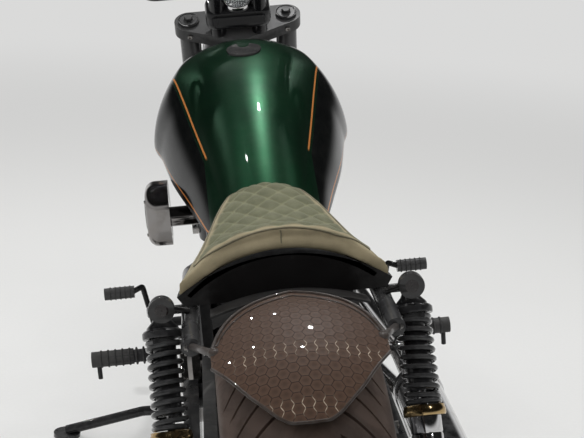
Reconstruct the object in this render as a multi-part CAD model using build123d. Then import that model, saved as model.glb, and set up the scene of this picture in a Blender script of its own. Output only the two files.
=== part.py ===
from build123d import *
import os
from math import atan2, cos, radians, sin, sqrt, tan

# A long, low cruiser motorcycle, parked and leaning on its side stand. It is modelled upright, then leaned.
# Points are (l, f, z): l to the rider's left, f forward of the rear axle, z up from the ground, all in mm.
# In the finished part +X is the left, -Y is forward and +Z is up.

# Stance
LEAN = 7.8                # lean to the left on the side stand, degrees
WHEELBASE = 1700.0
RAKE = 32.0               # steering axis from the vertical, degrees
FORK_OFFSET = 50.0        # fork legs ahead of the steering axis
FORK_SPREAD = 115.0       # each fork leg from the middle plane
SEAT_GAP = 0.3            # left where one piece rests on another
RUN_GAP = 0.05            # radial clearance of a turning fit
SWING_GAP = 5.0           # left beside a moving piece

# Wheels: tyre radius, width, crown radius, crown half width, rim seat radius, half width at the bead
REAR_TYRE_R = 325.0
REAR_TYRE_W = 240.0
REAR_CROWN_R = 150.0
REAR_CROWN_HALF = 112.0
REAR_SEAT_R = 232.0
REAR_BEAD_HALF = 105.0
FRONT_TYRE_R = 322.0
FRONT_TYRE_W = 130.0
FRONT_CROWN_R = 70.0
FRONT_CROWN_HALF = 58.0
FRONT_SEAT_R = 243.0
FRONT_BEAD_HALF = 48.0
RIM_WALL = 9.0
RIM_LIP = 9.0
SPOKES = 7
SPOKE_ROOT = 30.0
SPOKE_TIP = 20.0
SPOKE_THICK = 24.0
REAR_HUB_R = 52.0
REAR_HUB_HALF = 92.0
FRONT_HUB_R = 36.0
FRONT_HUB_HALF = 58.0
REAR_AXLE_R = 12.5
FRONT_AXLE_R = 11.0
AXLE_NUT_R = 20.0
AXLE_NUT_LONG = 16.0

# Brakes and drive
FRONT_DISC_R = 150.0
REAR_DISC_R = 146.0
DISC_THICK = 5.0
FRONT_DISC_L = 72.0       # inner face from the middle plane
REAR_DISC_L = 118.0
DISC_HOLE_R = 5.0
DISC_HOLES = 15
BELT_WIDE = 22.0
BELT_THICK = 6.0
BELT_L = 126.0            # inner edge of the belt from the middle plane
REAR_PULLEY_R = 108.0
FRONT_PULLEY_R = 44.0
FRONT_PULLEY_Z = 320.0

# Steering assembly, measured along the steering axis from the foot below the front axle
HEAD_LOW = 527.0
HEAD_HIGH = 690.0
HEAD_R = 36.0
STEM_R = 25.0
CLAMP_THICK = 30.0
CLAMP_BOSS_R = 34.0
FORK_TUBE_R = 24.5
FORK_SLIDER_R = 30.0
SLIDER_TOP = 345.0
SLIDER_FOOT = -34.0
FORK_CAP_STAND = 6.0
BAR_R = 12.7
RISER_L = 48.0
RISER_R = 18.0
RISER_LONG = 122.0
BAR_END_R = 9.5          # open ends of the bar
BAR_END_DEEP = 60.0
POD_WIDE = 150.0          # instrument pod between the risers
POD_DEEP = 74.0
POD_TALL = 58.0
POD_UP = 46.0
GRIP_R = 18.0
GRIP_LONG = 125.0
LAMP_R = 88.0
LAMP_DEEP = 120.0
LAMP_RIM = 36.0           # straight part of the bowl behind the lens
LAMP_F = 1590.0
LAMP_Z = 812.0
LENS_THICK = 10.0

# Crankshaft, from which the engine, exhaust and lower frame are placed
CRANK_F = 905.0
CRANK_Z = 280.0

# Frame tubes
BACKBONE_R = 26.0
CRADLE_R = 15.0
CRADLE_L = 106.0
CRADLE_Z = 122.0
DOWNTUBE_TOP = (1190.0, 500.0)  # f and z of the knee below the head
DOWNTUBE_FOOT_F = CRANK_F + 215
STRUT_R = 14.0
STRUT_L = 150.0
PIVOT_F = 520.0
PIVOT_Z = 325.0
PIVOT_TUBE_R = 24.0
BACKBONE_KNEE = (1010.0, 716.0)
BACKBONE_TAIL = (560.0, 622.0)
CRADLE_TOP_Z = PIVOT_Z + 275    # where each cradle ends, under the seat
STRUT_START_Z = CRADLE_TOP_Z - 12
STRUT_KNEE = (400.0, CRADLE_TOP_Z + 6)

# Engine: cylinders in a V
CRANKCASE_R = 128.0
GEARBOX_F = CRANK_F - 215
GEARBOX_R = 100.0
FRONT_PULLEY_F = GEARBOX_F - 50
CASE_HALF = 92.0
VEE_HALF = 22.5           # each cylinder from the vertical, degrees
DECK = 140.0              # cylinder foot from the crankshaft
BARREL_LONG = 100.0
BARREL_R = 54.0
FIN_R = 76.0
FINS = 7
FIN_THICK = 4.0
HEAD_LONG = 74.0
ROCKER_LONG = 34.0
HEAD_HALF = 68.0
EAR_WIDE = 34.0           # ledge on the right of each head, over the pushrods
EAR_FOOT = 30.0
CASE_TIE_R = CRADLE_R * 0.9
CASE_TIES = (DOWNTUBE_FOOT_F - 80, GEARBOX_F + 70)
PRIMARY_L = 178.0
PRIMARY_DOME = 12.0
GEAR_COVER_L = 140.0
PUSHROD_R = 9.0
PUSHROD_APART = 17.0      # each pushrod from its cylinder's middle
COVER_F = CRANK_F         # rounded intake cover
COVER_Z = 585.0
COVER_IN = 190.0
COVER_OUT = 240.0
COVER_WIDE = 118.0
COVER_TALL = 132.0

# Exhaust, on the right
MUFFLER_L = -252.0
MUFFLER_R = 44.0
MUFFLER_WALL = 7.0
MUFFLER_CONE = 60.0
OUTLET_LONG = 90.0
PIPE_R = 20.0
UPPER_Z = 306.0
LOWER_Z = 206.0
UPPER_RUN = (CRANK_F - 345, -170.0)     # f of its front and its outlet
LOWER_RUN = (CRANK_F - 425, -60.0)
PORT_L = -26.0
PORT_UP = 34.0            # exhaust port above the head's foot
REAR_KNEE = (-150.0, CRANK_F - 189, UPPER_Z + 164)
FRONT_KNEE = (-168.0, CRANK_F + 181, LOWER_Z + 194)
FRONT_LOW = (-176.0, CRANK_F + 155, LOWER_Z)
ELBOW_F = CRANK_F - 205

# Tank sections: f, top panel half width and edge height, crown, shoulder half width and height, foot half, floor
TANK = [
    (1212.0, 64.0, 858.0, 872.0, 110.0, 792.0, 88.0, 726.0),
    (1165.0, 120.0, 870.0, 897.0, 166.0, 748.0, 118.0, 690.0),
    (1095.0, 150.0, 846.0, 889.0, 216.0, 690.0, 150.0, 652.0),
    (1000.0, 142.0, 802.0, 852.0, 200.0, 670.0, 156.0, 646.0),
    (890.0, 120.0, 752.0, 798.0, 180.0, 642.0, 136.0, 646.0),
    (770.0, 98.0, 704.0, 742.0, 150.0, 620.0, 112.0, 646.0),
    (640.0, 80.0, 652.0, 682.0, 118.0, 606.0, 86.0, 640.0),
    (582.0, 70.0, 636.0, 650.0, 100.0, 604.0, 74.0, 630.0),
]
TANK_BULGE = 0.11         # how far a side bows out, as a share of its height
CAP_F = 1080.0            # filler cap
CAP_Z = 880.0
CAP_R = 38.0
CAP_DEEP = 12.0
# Seat sections: f, half width, edge foot, edge top, middle of the underside, middle of the top
SEAT = [
    (628.0, 26.0, 683.0, 690.0, 685.0, 697.0),
    (560.0, 66.0, 672.0, 684.0, 678.0, 700.0),
    (430.0, 100.0, 662.0, 678.0, 670.0, 694.0),
    (300.0, 128.0, 658.0, 676.0, 672.0, 704.0),
    (205.0, 156.0, 656.0, 676.0, 694.0, 740.0),
    (140.0, 168.0, 654.0, 674.0, 708.0, 738.0),
]
PAN_DEEP = 16.0           # depth of the seat pan at its edge

# Swingarm and shocks
ARM_IN = 158.0
ARM_OUT = 186.0
ARM_TALL = 58.0
SHOCK_L = 195.0
SHOCK_TOP = (154.0, 630.0)      # f and z of the upper eye
SHOCK_LOW = (18.0, 372.0)
EYE_R = 15.0
EYE_HALF = 12.0
EYE_PIN_R = 7.0
SHOCK_BODY_R = 26.0
SPRING_R = 30.0                 # outside of the coils
WIRE_R = 4.6
SPRING_TURNS = 9
SPRING_LOW = 106.0              # coil ends along the shock from its lower eye
SPRING_HIGH = 246.0

# Rear fender: sections across a crowned band, angles from straight up towards the rear
FENDER_R = 362.0
FENDER_SIDE_R = 341.0
FENDER_HALF = 122.0
FENDER_WALL = 3.5
FENDER_FRONT = -4.0
INNER_GUARD_SCALE = 0.978      # the black guard ahead of the fender, a little closer to the tyre
INNER_GUARD_REACH = 230.0
FENDER_LIP = [(122.0, 23.7), (76.0, 33.4), (42.0, 39.0), (0.0, 41.5)]

# Front fender
GUARD_R = 340.0
GUARD_SAG = 34.0          # its edges lie this much nearer the axle
GUARD_HALF = 74.0
GUARD_WALL = 3.0
GUARD_SPAN = (-74.0, -30.0, 0.0, 20.0)   # angles from straight up, forward positive
GUARD_STAY_UP = 306.0     # its stays, along the fork
GUARD_STAY_R = 9.0

# Signals: l, f and z of a rear lens, radius, length, straight part of the bowl
SIGNAL = (192.0, 102.0, 648.0)
SIGNAL_R = 20.0
SIGNAL_LONG = 32.0
SIGNAL_RIM = 14.0

# Foot controls and stand
PEG_R = 17.0
PEG_LONG = 90.0
PEG_TIP = (389.0, 873.0, 282.0)
PAD_R = 13.0
PAD_LONG = 64.0
PAD_TIP = (347.0, 888.0, 422.0)
ARM_R = 11.0
ARM_L = 228.0
ARM_ROOT_F = DOWNTUBE_FOOT_F + 8
STAND_PIVOT = (147.0, CRANK_F + 25, 122.0)
STAND_KNEE = (300.0, CRANK_F + 47, 118.0)
STAND_FOOT = (478.0, CRANK_F + 80)     # l and f of the foot's middle
STAND_R = 11.0
STUD_R = 8.0
FOOT_R = 30.0
FOOT_THICK = 8.0


def spot(l, f, z):
    """A point of the upright machine."""
    return Vector(l, -f, z)


def rod(a, b, radius):
    """A round bar from point a to point b."""
    span = b - a
    return Plane(origin=a, z_dir=span) * Cylinder(radius, span.length, align=(Align.CENTER, Align.CENTER, Align.MIN))


def bent(points, bend, radius):
    """A round bar along straight runs joined by arcs."""
    path = FilletPolyline(*points, radius=bend)
    return sweep(Plane(origin=path @ 0, z_dir=path % 0) * Circle(radius), path=path)


def cross(l_from, l_to, f, z, radius):
    """A round bar across the machine."""
    return rod(spot(l_from, f, z), spot(l_to, f, z), radius)


def plate(profile, l_from, l_to):
    """A side-view profile, drawn as (f, z), given its thickness from l_from to l_to."""
    side = Plane(origin=(l_from, 0, 0), x_dir=(0, -1, 0), z_dir=(-1, 0, 0))
    return extrude(side * profile, amount=l_to - l_from, dir=(1, 0, 0))


def mirrored(solid):
    """The same piece on the other side."""
    return mirror(solid, about=Plane.YZ)


def pair(solid):
    """A piece and its twin on the other side, as two solids."""
    return Compound(children=[solid, mirrored(solid)])


def turned(profile, centre):
    """A profile drawn as (radius, l) turned about a cross axle through centre."""
    ring = revolve(Plane(origin=(0, 0, 0), x_dir=(0, 0, 1), z_dir=(0, -1, 0)) * profile, axis=Axis.X)
    return Pos(*centre) * ring


# Heights of the axles above the ground, so that both tyres touch it once leaned
DROP = REAR_CROWN_R * (1 - cos(radians(LEAN)))
REAR_AXLE = spot(0, 0, REAR_TYRE_R)
FRONT_AXLE_Z = FRONT_TYRE_R - FRONT_CROWN_R + (FRONT_CROWN_R - DROP) / cos(radians(LEAN))
FRONT_AXLE = spot(0, WHEELBASE, FRONT_AXLE_Z)

# The steering axis: HEAD's local z runs up along it, x to the left and y to the rear
SR = sin(radians(RAKE))
CR = cos(radians(RAKE))
AXIS_FOOT = spot(0, WHEELBASE - FORK_OFFSET * CR, FRONT_AXLE_Z - FORK_OFFSET * SR)
HEAD = Plane(origin=AXIS_FOOT, x_dir=(1, 0, 0), z_dir=(0, SR, CR))


def head_spot(l, ahead, up):
    """A point given across, ahead of the steering axis and up along it."""
    return HEAD.from_local_coords(Vector(l, -ahead, up))


def dome(radius, height, start, sign):
    """A spherical cap's half profile from (radius, start) to the axis, height further on along sign."""
    ball = (radius ** 2 + height ** 2) / (2 * height)
    half_turn = atan2(radius, ball - height) / 2
    mid = (ball * sin(half_turn), start + sign * (height - ball * (1 - cos(half_turn))))
    return ThreePointArc((radius, start), mid, (0, start + sign * height))


def tyre(radius, width, crown_r, crown_half, seat_r, bead_half, centre):
    """A tyre with a round crown."""
    shoulder = radius - crown_r + sqrt(crown_r ** 2 - crown_half ** 2)
    inside = seat_r + SEAT_GAP
    waist = (inside + shoulder) / 2
    edge = Line((inside, -bead_half), (inside, bead_half))
    left = ThreePointArc((inside, bead_half), (waist, width / 2), (shoulder, crown_half))
    crown = ThreePointArc((shoulder, crown_half), (radius, 0), (shoulder, -crown_half))
    right = ThreePointArc((shoulder, -crown_half), (waist, -width / 2), (inside, -bead_half))
    return turned(make_face(Curve() + [edge, left, crown, right]), centre)


def rim(seat_r, bead_half, hub_r, hub_half, axle_r, centre):
    """A cast rim with tapered spokes."""
    inner = seat_r - RIM_WALL
    lip = inner - RIM_LIP
    barrel = Polyline((seat_r, -bead_half), (seat_r, bead_half), (lip, bead_half), (lip, bead_half - RIM_LIP),
                      (inner, bead_half - 2 * RIM_LIP), (inner, -bead_half + 2 * RIM_LIP),
                      (lip, -bead_half + RIM_LIP), (lip, -bead_half), close=True)
    hub = Polyline((axle_r + RUN_GAP, -hub_half), (axle_r + RUN_GAP, hub_half), (hub_r * 0.7, hub_half),
                   (hub_r, hub_half * 0.6), (hub_r, -hub_half * 0.6), (hub_r * 0.7, -hub_half), close=True)
    wheel = turned(make_face(barrel), (0, 0, 0)) + turned(make_face(hub), (0, 0, 0))
    reach = inner + RIM_WALL / 2
    spoke = Polyline((-SPOKE_ROOT / 2, hub_r * 0.8), (SPOKE_ROOT / 2, hub_r * 0.8), (SPOKE_TIP / 2, reach),
                     (-SPOKE_TIP / 2, reach), close=True)
    blade = plate(make_face(spoke), -SPOKE_THICK / 2, SPOKE_THICK / 2)
    for turn in range(SPOKES):
        wheel += Rot(360 / SPOKES * turn, 0, 0) * blade
    return Pos(*centre) * wheel


def disc(radius, inner, l_from, centre, axle_r):
    """A brake disc with its carrier and a ring of holes."""
    band = Circle(radius) - Circle(axle_r + RUN_GAP)
    band -= PolarLocations((radius + inner) / 2, DISC_HOLES) * Circle(DISC_HOLE_R)
    return Pos(*centre) * plate(band, l_from, l_from + DISC_THICK)


# Wheels
rear_tyre = tyre(REAR_TYRE_R, REAR_TYRE_W, REAR_CROWN_R, REAR_CROWN_HALF, REAR_SEAT_R, REAR_BEAD_HALF, REAR_AXLE)
rear_rim = rim(REAR_SEAT_R, REAR_BEAD_HALF, REAR_HUB_R, REAR_HUB_HALF, REAR_AXLE_R, REAR_AXLE)
front_tyre = tyre(FRONT_TYRE_R, FRONT_TYRE_W, FRONT_CROWN_R, FRONT_CROWN_HALF, FRONT_SEAT_R, FRONT_BEAD_HALF,
                  FRONT_AXLE)
front_rim = rim(FRONT_SEAT_R, FRONT_BEAD_HALF, FRONT_HUB_R, FRONT_HUB_HALF, FRONT_AXLE_R, FRONT_AXLE)
front_disc = disc(FRONT_DISC_R, FRONT_DISC_R * 0.62, FRONT_DISC_L, FRONT_AXLE, FRONT_AXLE_R)
front_boss = FRONT_AXLE + Vector(FRONT_HUB_HALF + SEAT_GAP, 0, 0)
front_disc += rod(front_boss, FRONT_AXLE + Vector(FRONT_DISC_L, 0, 0), FRONT_HUB_R * 0.7)
front_disc -= rod(FRONT_AXLE, FRONT_AXLE + Vector(FRONT_SEAT_R, 0, 0), FRONT_AXLE_R + RUN_GAP)
front_discs = pair(front_disc)
rear_disc = disc(REAR_DISC_R, REAR_DISC_R * 0.62, -REAR_DISC_L - DISC_THICK, REAR_AXLE, REAR_AXLE_R)
rear_disc += rod(REAR_AXLE - Vector(REAR_DISC_L, 0, 0), REAR_AXLE - Vector(REAR_HUB_HALF + SEAT_GAP, 0, 0),
                 REAR_HUB_R * 0.7)
rear_disc -= cross(-REAR_SEAT_R, 0, 0, REAR_TYRE_R, REAR_AXLE_R + RUN_GAP)
pulley_out = BELT_L + BELT_WIDE
rear_pulley = cross(BELT_L, pulley_out, 0, REAR_TYRE_R, REAR_PULLEY_R - SEAT_GAP)
rear_pulley += cross(REAR_HUB_HALF + SEAT_GAP, BELT_L, 0, REAR_TYRE_R, REAR_HUB_R)
rear_pulley -= cross(0, pulley_out + 1, 0, REAR_TYRE_R, REAR_AXLE_R + RUN_GAP)
for turn in range(SPOKES):
    window = Rot(360 / SPOKES * turn, 0, 0) * rod(Vector(BELT_L - 1, 0, REAR_PULLEY_R * 0.72),
                                                  Vector(pulley_out + 1, 0, REAR_PULLEY_R * 0.72), 20.0)
    rear_pulley -= Pos(*REAR_AXLE) * window

# Axles, with a nut at each end
arm_end = ARM_OUT + SEAT_GAP
rear_axle = cross(-arm_end - AXLE_NUT_LONG, arm_end + AXLE_NUT_LONG, 0, REAR_TYRE_R, REAR_AXLE_R)
for side in (-1, 1):
    rear_axle += cross(side * arm_end, side * (arm_end + AXLE_NUT_LONG), 0, REAR_TYRE_R, AXLE_NUT_R)
leg_out = FORK_SPREAD + FORK_SLIDER_R + SEAT_GAP
front_axle = cross(-leg_out - AXLE_NUT_LONG, leg_out + AXLE_NUT_LONG, WHEELBASE, FRONT_AXLE_Z, FRONT_AXLE_R)
for side in (-1, 1):
    front_axle += cross(side * leg_out, side * (leg_out + AXLE_NUT_LONG), WHEELBASE, FRONT_AXLE_Z, AXLE_NUT_R * 0.9)

# Belt round both pulleys
drive_r = REAR_PULLEY_R + BELT_THICK
belt_outer = make_hull([*(Pos(0, REAR_TYRE_R) * Circle(drive_r)).edges(),
                        *(Pos(FRONT_PULLEY_F, FRONT_PULLEY_Z) * Circle(FRONT_PULLEY_R + BELT_THICK)).edges()])
belt_inner = make_hull([*(Pos(0, REAR_TYRE_R) * Circle(REAR_PULLEY_R)).edges(),
                        *(Pos(FRONT_PULLEY_F, FRONT_PULLEY_Z) * Circle(FRONT_PULLEY_R)).edges()])
drive_belt = plate(belt_outer - belt_inner, BELT_L, pulley_out)

# Triple clamps with the stem
clamp_low = HEAD_LOW - CLAMP_THICK - SEAT_GAP
clamp_high = HEAD_HIGH + SEAT_GAP
clamp_rings = [Pos(FORK_SPREAD, -FORK_OFFSET) * Circle(CLAMP_BOSS_R),
               Pos(-FORK_SPREAD, -FORK_OFFSET) * Circle(CLAMP_BOSS_R), Circle(CLAMP_BOSS_R)]
clamp_web = make_hull([edge for ring in clamp_rings for edge in ring.edges()])
leg_bores = Locations((FORK_SPREAD, -FORK_OFFSET), (-FORK_SPREAD, -FORK_OFFSET)) * Circle(FORK_TUBE_R + SEAT_GAP)
clamp_web -= leg_bores
triple_clamps = extrude(Pos(0, 0, clamp_low) * clamp_web, amount=CLAMP_THICK, dir=(0, 0, 1))
triple_clamps += extrude(Pos(0, 0, clamp_high) * clamp_web, amount=CLAMP_THICK, dir=(0, 0, 1))
triple_clamps += extrude(Pos(0, 0, clamp_low) * Circle(STEM_R), amount=clamp_high + CLAMP_THICK - clamp_low)
triple_clamps = HEAD.location * triple_clamps
clamp_top = clamp_high + CLAMP_THICK

# Fork legs
fork_tube = extrude(Circle(FORK_TUBE_R), amount=clamp_top + FORK_CAP_STAND - SLIDER_TOP)
fork_tube = HEAD.location * Pos(FORK_SPREAD, -FORK_OFFSET, SLIDER_TOP) * fork_tube
fork_tubes = pair(fork_tube)
slider = extrude(Circle(FORK_SLIDER_R), amount=SLIDER_TOP - SLIDER_FOOT)
slider = HEAD.location * Pos(FORK_SPREAD, -FORK_OFFSET, SLIDER_FOOT) * slider
slider -= rod(FRONT_AXLE, FRONT_AXLE + Vector(leg_out + 1, 0, 0), FRONT_AXLE_R + SEAT_GAP)
fork_sliders = pair(slider)

# Handlebar on two risers, with the grips and levers
bar_mid = head_spot(0, 0, clamp_top + RISER_LONG)
bar_f = -bar_mid.Y
bar_z = bar_mid.Z
BAR_TIP = (415.0, bar_f - 128.0, bar_z + 62.0)
bar_points = [(200.0, bar_f, bar_z), (268.0, bar_f - 30.0, bar_z + 66.0), BAR_TIP]
bar_line = [spot(-l, f, z) for l, f, z in reversed(bar_points)] + [spot(l, f, z) for l, f, z in bar_points]
handlebar = bent(bar_line, 45.0, BAR_R)
pod = fillet(Box(POD_WIDE, POD_DEEP, POD_TALL).edges(), 20)
handlebar += HEAD.location * (Pos(0, -POD_DEEP * 0.2, clamp_top + POD_UP) * pod)
handlebar += HEAD.location * (Pos(0, -POD_DEEP * 0.1, clamp_top + POD_UP + POD_TALL / 2 - 2) * Cylinder(
    POD_DEEP * 0.42, 10, align=(Align.CENTER, Align.CENTER, Align.MIN)))
for side in (-1, 1):
    handlebar += rod(head_spot(side * RISER_L, 0, clamp_top + SEAT_GAP),
                     head_spot(side * RISER_L, 0, clamp_top + RISER_LONG), RISER_R)
    handlebar += cross(side * (RISER_L - RISER_R), side * (RISER_L + RISER_R), bar_f, bar_z, BAR_R * 1.7)
grip_dir = (spot(*BAR_TIP) - spot(*bar_points[1])).normalized()
grip_end = spot(*BAR_TIP)
grip_start = grip_end - grip_dir * GRIP_LONG
grip = rod(grip_start, grip_end, GRIP_R) - rod(grip_start - grip_dir, grip_end + grip_dir, BAR_R + SEAT_GAP)
grips = pair(grip)
bar_end = rod(grip_end - grip_dir * BAR_END_DEEP, grip_end + grip_dir, BAR_END_R)
handlebar -= bar_end
handlebar -= mirrored(bar_end)
perch_end = grip_start - grip_dir * 8.0
perch_start = perch_end - grip_dir * 26.0
lever_up = Vector(0, -62.0, -6.0)
lever = rod(perch_start, perch_end, GRIP_R * 1.15) - rod(perch_start - grip_dir, perch_end + grip_dir, BAR_R + SEAT_GAP)
lever_root = (perch_start + perch_end) * 0.5 + lever_up.normalized() * BAR_R * 1.4
lever += bent([lever_root, lever_root + lever_up * 0.7, grip_end + lever_up * 0.75 - grip_dir * 20.0], 12.0, 6.0)
lever -= rod(perch_start - grip_dir * 40, perch_end + grip_dir * 40, BAR_R + SEAT_GAP)
levers = pair(lever)

# Headlamp bowl and lens, carried on the lower clamp
bowl_line = make_face(Curve() + [Line((0, 0), (LAMP_R, 0)), Line((LAMP_R, 0), (LAMP_R, LAMP_RIM)),
                                 dome(LAMP_R, LAMP_DEEP - LAMP_RIM, LAMP_RIM, 1), Line((0, LAMP_DEEP), (0, 0))])
bowl_axis = Axis(spot(0, LAMP_F, LAMP_Z), (0, 1, 0))
headlamp = revolve(Plane(origin=spot(0, LAMP_F, LAMP_Z), x_dir=(1, 0, 0), z_dir=(0, 0, 1)) * bowl_line, axis=bowl_axis)
lens_line = make_face(Curve() + [Line((0, 0), (LAMP_R - 8, 0)), dome(LAMP_R - 8, LENS_THICK, 0, 1),
                                 Line((0, LENS_THICK), (0, 0))])
headlamp_lens = revolve(Plane(origin=spot(0, LAMP_F + SEAT_GAP, LAMP_Z), x_dir=(1, 0, 0), z_dir=(0, 0, -1)) * lens_line,
                        axis=Axis(spot(0, LAMP_F, LAMP_Z), (0, -1, 0)))
clamp_nose = head_spot(0, FORK_OFFSET + CLAMP_BOSS_R + SEAT_GAP, (clamp_low + HEAD_LOW) / 2)
headlamp += rod(clamp_nose, spot(0, LAMP_F - LAMP_DEEP * 0.35, LAMP_Z - 20), 14.0)
headlamp -= HEAD.location * (Pos(0, 0, clamp_low - 1) * extrude(offset(make_hull(
    [edge for ring in clamp_rings for edge in ring.edges()]), SEAT_GAP), amount=CLAMP_THICK + 2))

# Frame: head tube, backbone, cradles, seat struts and cross tubes
head_tube = HEAD.location * (Pos(0, 0, HEAD_LOW) * extrude(Circle(HEAD_R) - Circle(STEM_R + RUN_GAP),
                                                           amount=HEAD_HIGH - HEAD_LOW))
head_mid = head_spot(0, 0, (HEAD_LOW + HEAD_HIGH) / 2)
backbone_line = [head_spot(0, 0, HEAD_HIGH - 60), spot(0, *BACKBONE_KNEE), spot(0, *BACKBONE_TAIL)]
backbone = bent(backbone_line, 180.0, BACKBONE_R)
cradle_line = [head_spot(28, 0, HEAD_LOW + 30), spot(CRADLE_L, *DOWNTUBE_TOP),
               spot(CRADLE_L, DOWNTUBE_FOOT_F, CRADLE_Z), spot(CRADLE_L, PIVOT_F + 20, CRADLE_Z),
               spot(CRADLE_L, PIVOT_F, PIVOT_Z), spot(CRADLE_L, PIVOT_F + 30, CRADLE_TOP_Z)]
cradle = bent(cradle_line, 60.0, CRADLE_R)
strut_z = SEAT[-1][2] - PAN_DEEP - SEAT_GAP - STRUT_R
strut_line = [spot(CRADLE_L, PIVOT_F + 27, STRUT_START_Z), spot(STRUT_L, *STRUT_KNEE),
              spot(STRUT_L, SEAT[-2][0], strut_z), spot(STRUT_L, 0, strut_z)]
strut = bent(strut_line, 60.0, STRUT_R)
main_frame = head_tube + backbone + cradle + mirrored(cradle) + strut + mirrored(strut)
for f, z in ((CASE_TIES[0], CRADLE_Z), (CASE_TIES[1], CRADLE_Z), (PIVOT_F + 29, CRADLE_TOP_Z - 6)):
    main_frame += cross(-CRADLE_L, CRADLE_L, f, z, CASE_TIE_R)
stem_bore = extrude(Circle(STEM_R + RUN_GAP), amount=HEAD_HIGH - HEAD_LOW + 120)
main_frame -= HEAD.location * (Pos(0, 0, HEAD_LOW - 60) * stem_bore)
main_frame -= HEAD.location * (Pos(0, 0, HEAD_LOW - 80) * extrude(Circle(2 * HEAD_R), amount=80))
for side in (-1, 1):
    main_frame += cross(side * STRUT_L, side * (SHOCK_L + EYE_HALF + 4), *SHOCK_TOP, EYE_PIN_R)
pivot_tube = cross(-CRADLE_L + CRADLE_R * 0.5, CRADLE_L - CRADLE_R * 0.5, PIVOT_F, PIVOT_Z, PIVOT_TUBE_R)
main_frame += pivot_tube

# Swingarm: two arms on a pivot shaft, with studs for the shocks
arm_face = make_hull([*(Pos(PIVOT_F, PIVOT_Z) * Circle(ARM_TALL * 0.55)).edges(),
                      *(Pos(0, REAR_TYRE_R) * Circle(ARM_TALL * 0.5)).edges()])
post_top = SHOCK_LOW[1] + 14
shock_post = Polyline((SHOCK_LOW[0] - 20, REAR_TYRE_R), (SHOCK_LOW[0] + 34, REAR_TYRE_R),
                      (SHOCK_LOW[0] + 14, post_top), (SHOCK_LOW[0] - 12, post_top), close=True)
arm = plate(arm_face, ARM_IN, ARM_OUT) + plate(make_face(shock_post), ARM_IN, SHOCK_L - SHOCK_BODY_R - 1)
arm += cross(ARM_IN, SHOCK_L + EYE_HALF + 4, *SHOCK_LOW, EYE_PIN_R)
arm -= cross(0, ARM_OUT + 30, 0, REAR_TYRE_R, REAR_AXLE_R + SEAT_GAP)
arm += cross(CRADLE_L + CRADLE_R + SEAT_GAP, ARM_IN, PIVOT_F, PIVOT_Z, PIVOT_TUBE_R)
swingarm = pair(arm)

# Shocks: a body with two eyes, and a coil spring round it
shock_low = spot(SHOCK_L, *SHOCK_LOW)
shock_top = spot(SHOCK_L, *SHOCK_TOP)
shock_run = (shock_top - shock_low).normalized()
shock_long = (shock_top - shock_low).length
shock_plane = Plane(origin=shock_low, x_dir=(1, 0, 0), z_dir=shock_run)
seat_r = SPRING_R + 1.5
shock_profile = Polyline((0, EYE_R * 0.6), (14, EYE_R * 0.6), (20, SHOCK_BODY_R), (20, SPRING_LOW - 12),
                         (seat_r, SPRING_LOW - 10), (seat_r, SPRING_LOW - SEAT_GAP), (17, SPRING_LOW - SEAT_GAP), (17, SPRING_HIGH + SEAT_GAP),
                         (seat_r, SPRING_HIGH + SEAT_GAP), (seat_r, SPRING_HIGH + 14), (22, shock_long - 22),
                         (12, shock_long - EYE_R * 0.6), (0, shock_long - EYE_R * 0.6), close=True)
shock = revolve(shock_plane * (Rot(90, 0, 0) * make_face(shock_profile)), axis=Axis(shock_low, shock_run))
for f, z in (SHOCK_LOW, SHOCK_TOP):
    shock += cross(SHOCK_L - EYE_HALF, SHOCK_L + EYE_HALF, f, z, EYE_R)
for f, z in (SHOCK_LOW, SHOCK_TOP):
    shock -= cross(SHOCK_L - EYE_HALF - 5, SHOCK_L + EYE_HALF + 5, f, z, EYE_PIN_R + SEAT_GAP)
shock_bodies = pair(shock)
coil_r = SPRING_R - WIRE_R
coil_low = SPRING_LOW + WIRE_R
coil_high = SPRING_HIGH - WIRE_R
coil = Helix(pitch=(coil_high - coil_low) / SPRING_TURNS, height=coil_high - coil_low, radius=coil_r)
wire = sweep(Plane(origin=coil @ 0, z_dir=coil % 0) * RegularPolygon(WIRE_R, 6), path=coil, is_frenet=True)
spring = shock_plane.location * Pos(0, 0, coil_low) * wire
shock_springs = pair(spring)

# Engine cases with round decks for the cylinders
crank = spot(0, CRANK_F, CRANK_Z)
case_side = make_hull([*(Pos(CRANK_F, CRANK_Z) * Circle(CRANKCASE_R)).edges(),
                       *(Pos(GEARBOX_F, FRONT_PULLEY_Z - 20) * Circle(GEARBOX_R)).edges()])
engine_case = plate(case_side, -CASE_HALF, CASE_HALF)
vee = [Plane(origin=crank, x_dir=(1, 0, 0), z_dir=(0, -side * sin(radians(VEE_HALF)), cos(radians(VEE_HALF))))
       for side in (-1, 1)]
for bank in vee:
    engine_case += bank.location * Cylinder(BARREL_R + 3, DECK, align=(Align.CENTER, Align.CENTER, Align.MIN))
for bank in vee:
    fin_room = Cylinder(FIN_R + 1, BARREL_LONG, align=(Align.CENTER, Align.CENTER, Align.MIN))
    engine_case -= bank.location * (Pos(0, 0, DECK) * fin_room)
for f in CASE_TIES:
    tie_top = CRADLE_Z + CASE_TIE_R + SEAT_GAP
    inward = (f - CRANK_F) * 0.5
    lug = Polyline((f - 20, tie_top), (f + 20, tie_top), (f + 8 - inward, CRANK_Z - 40), (f - 8 - inward, CRANK_Z - 40),
                   close=True)
    engine_case += plate(make_face(lug), -60, 60)

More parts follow.
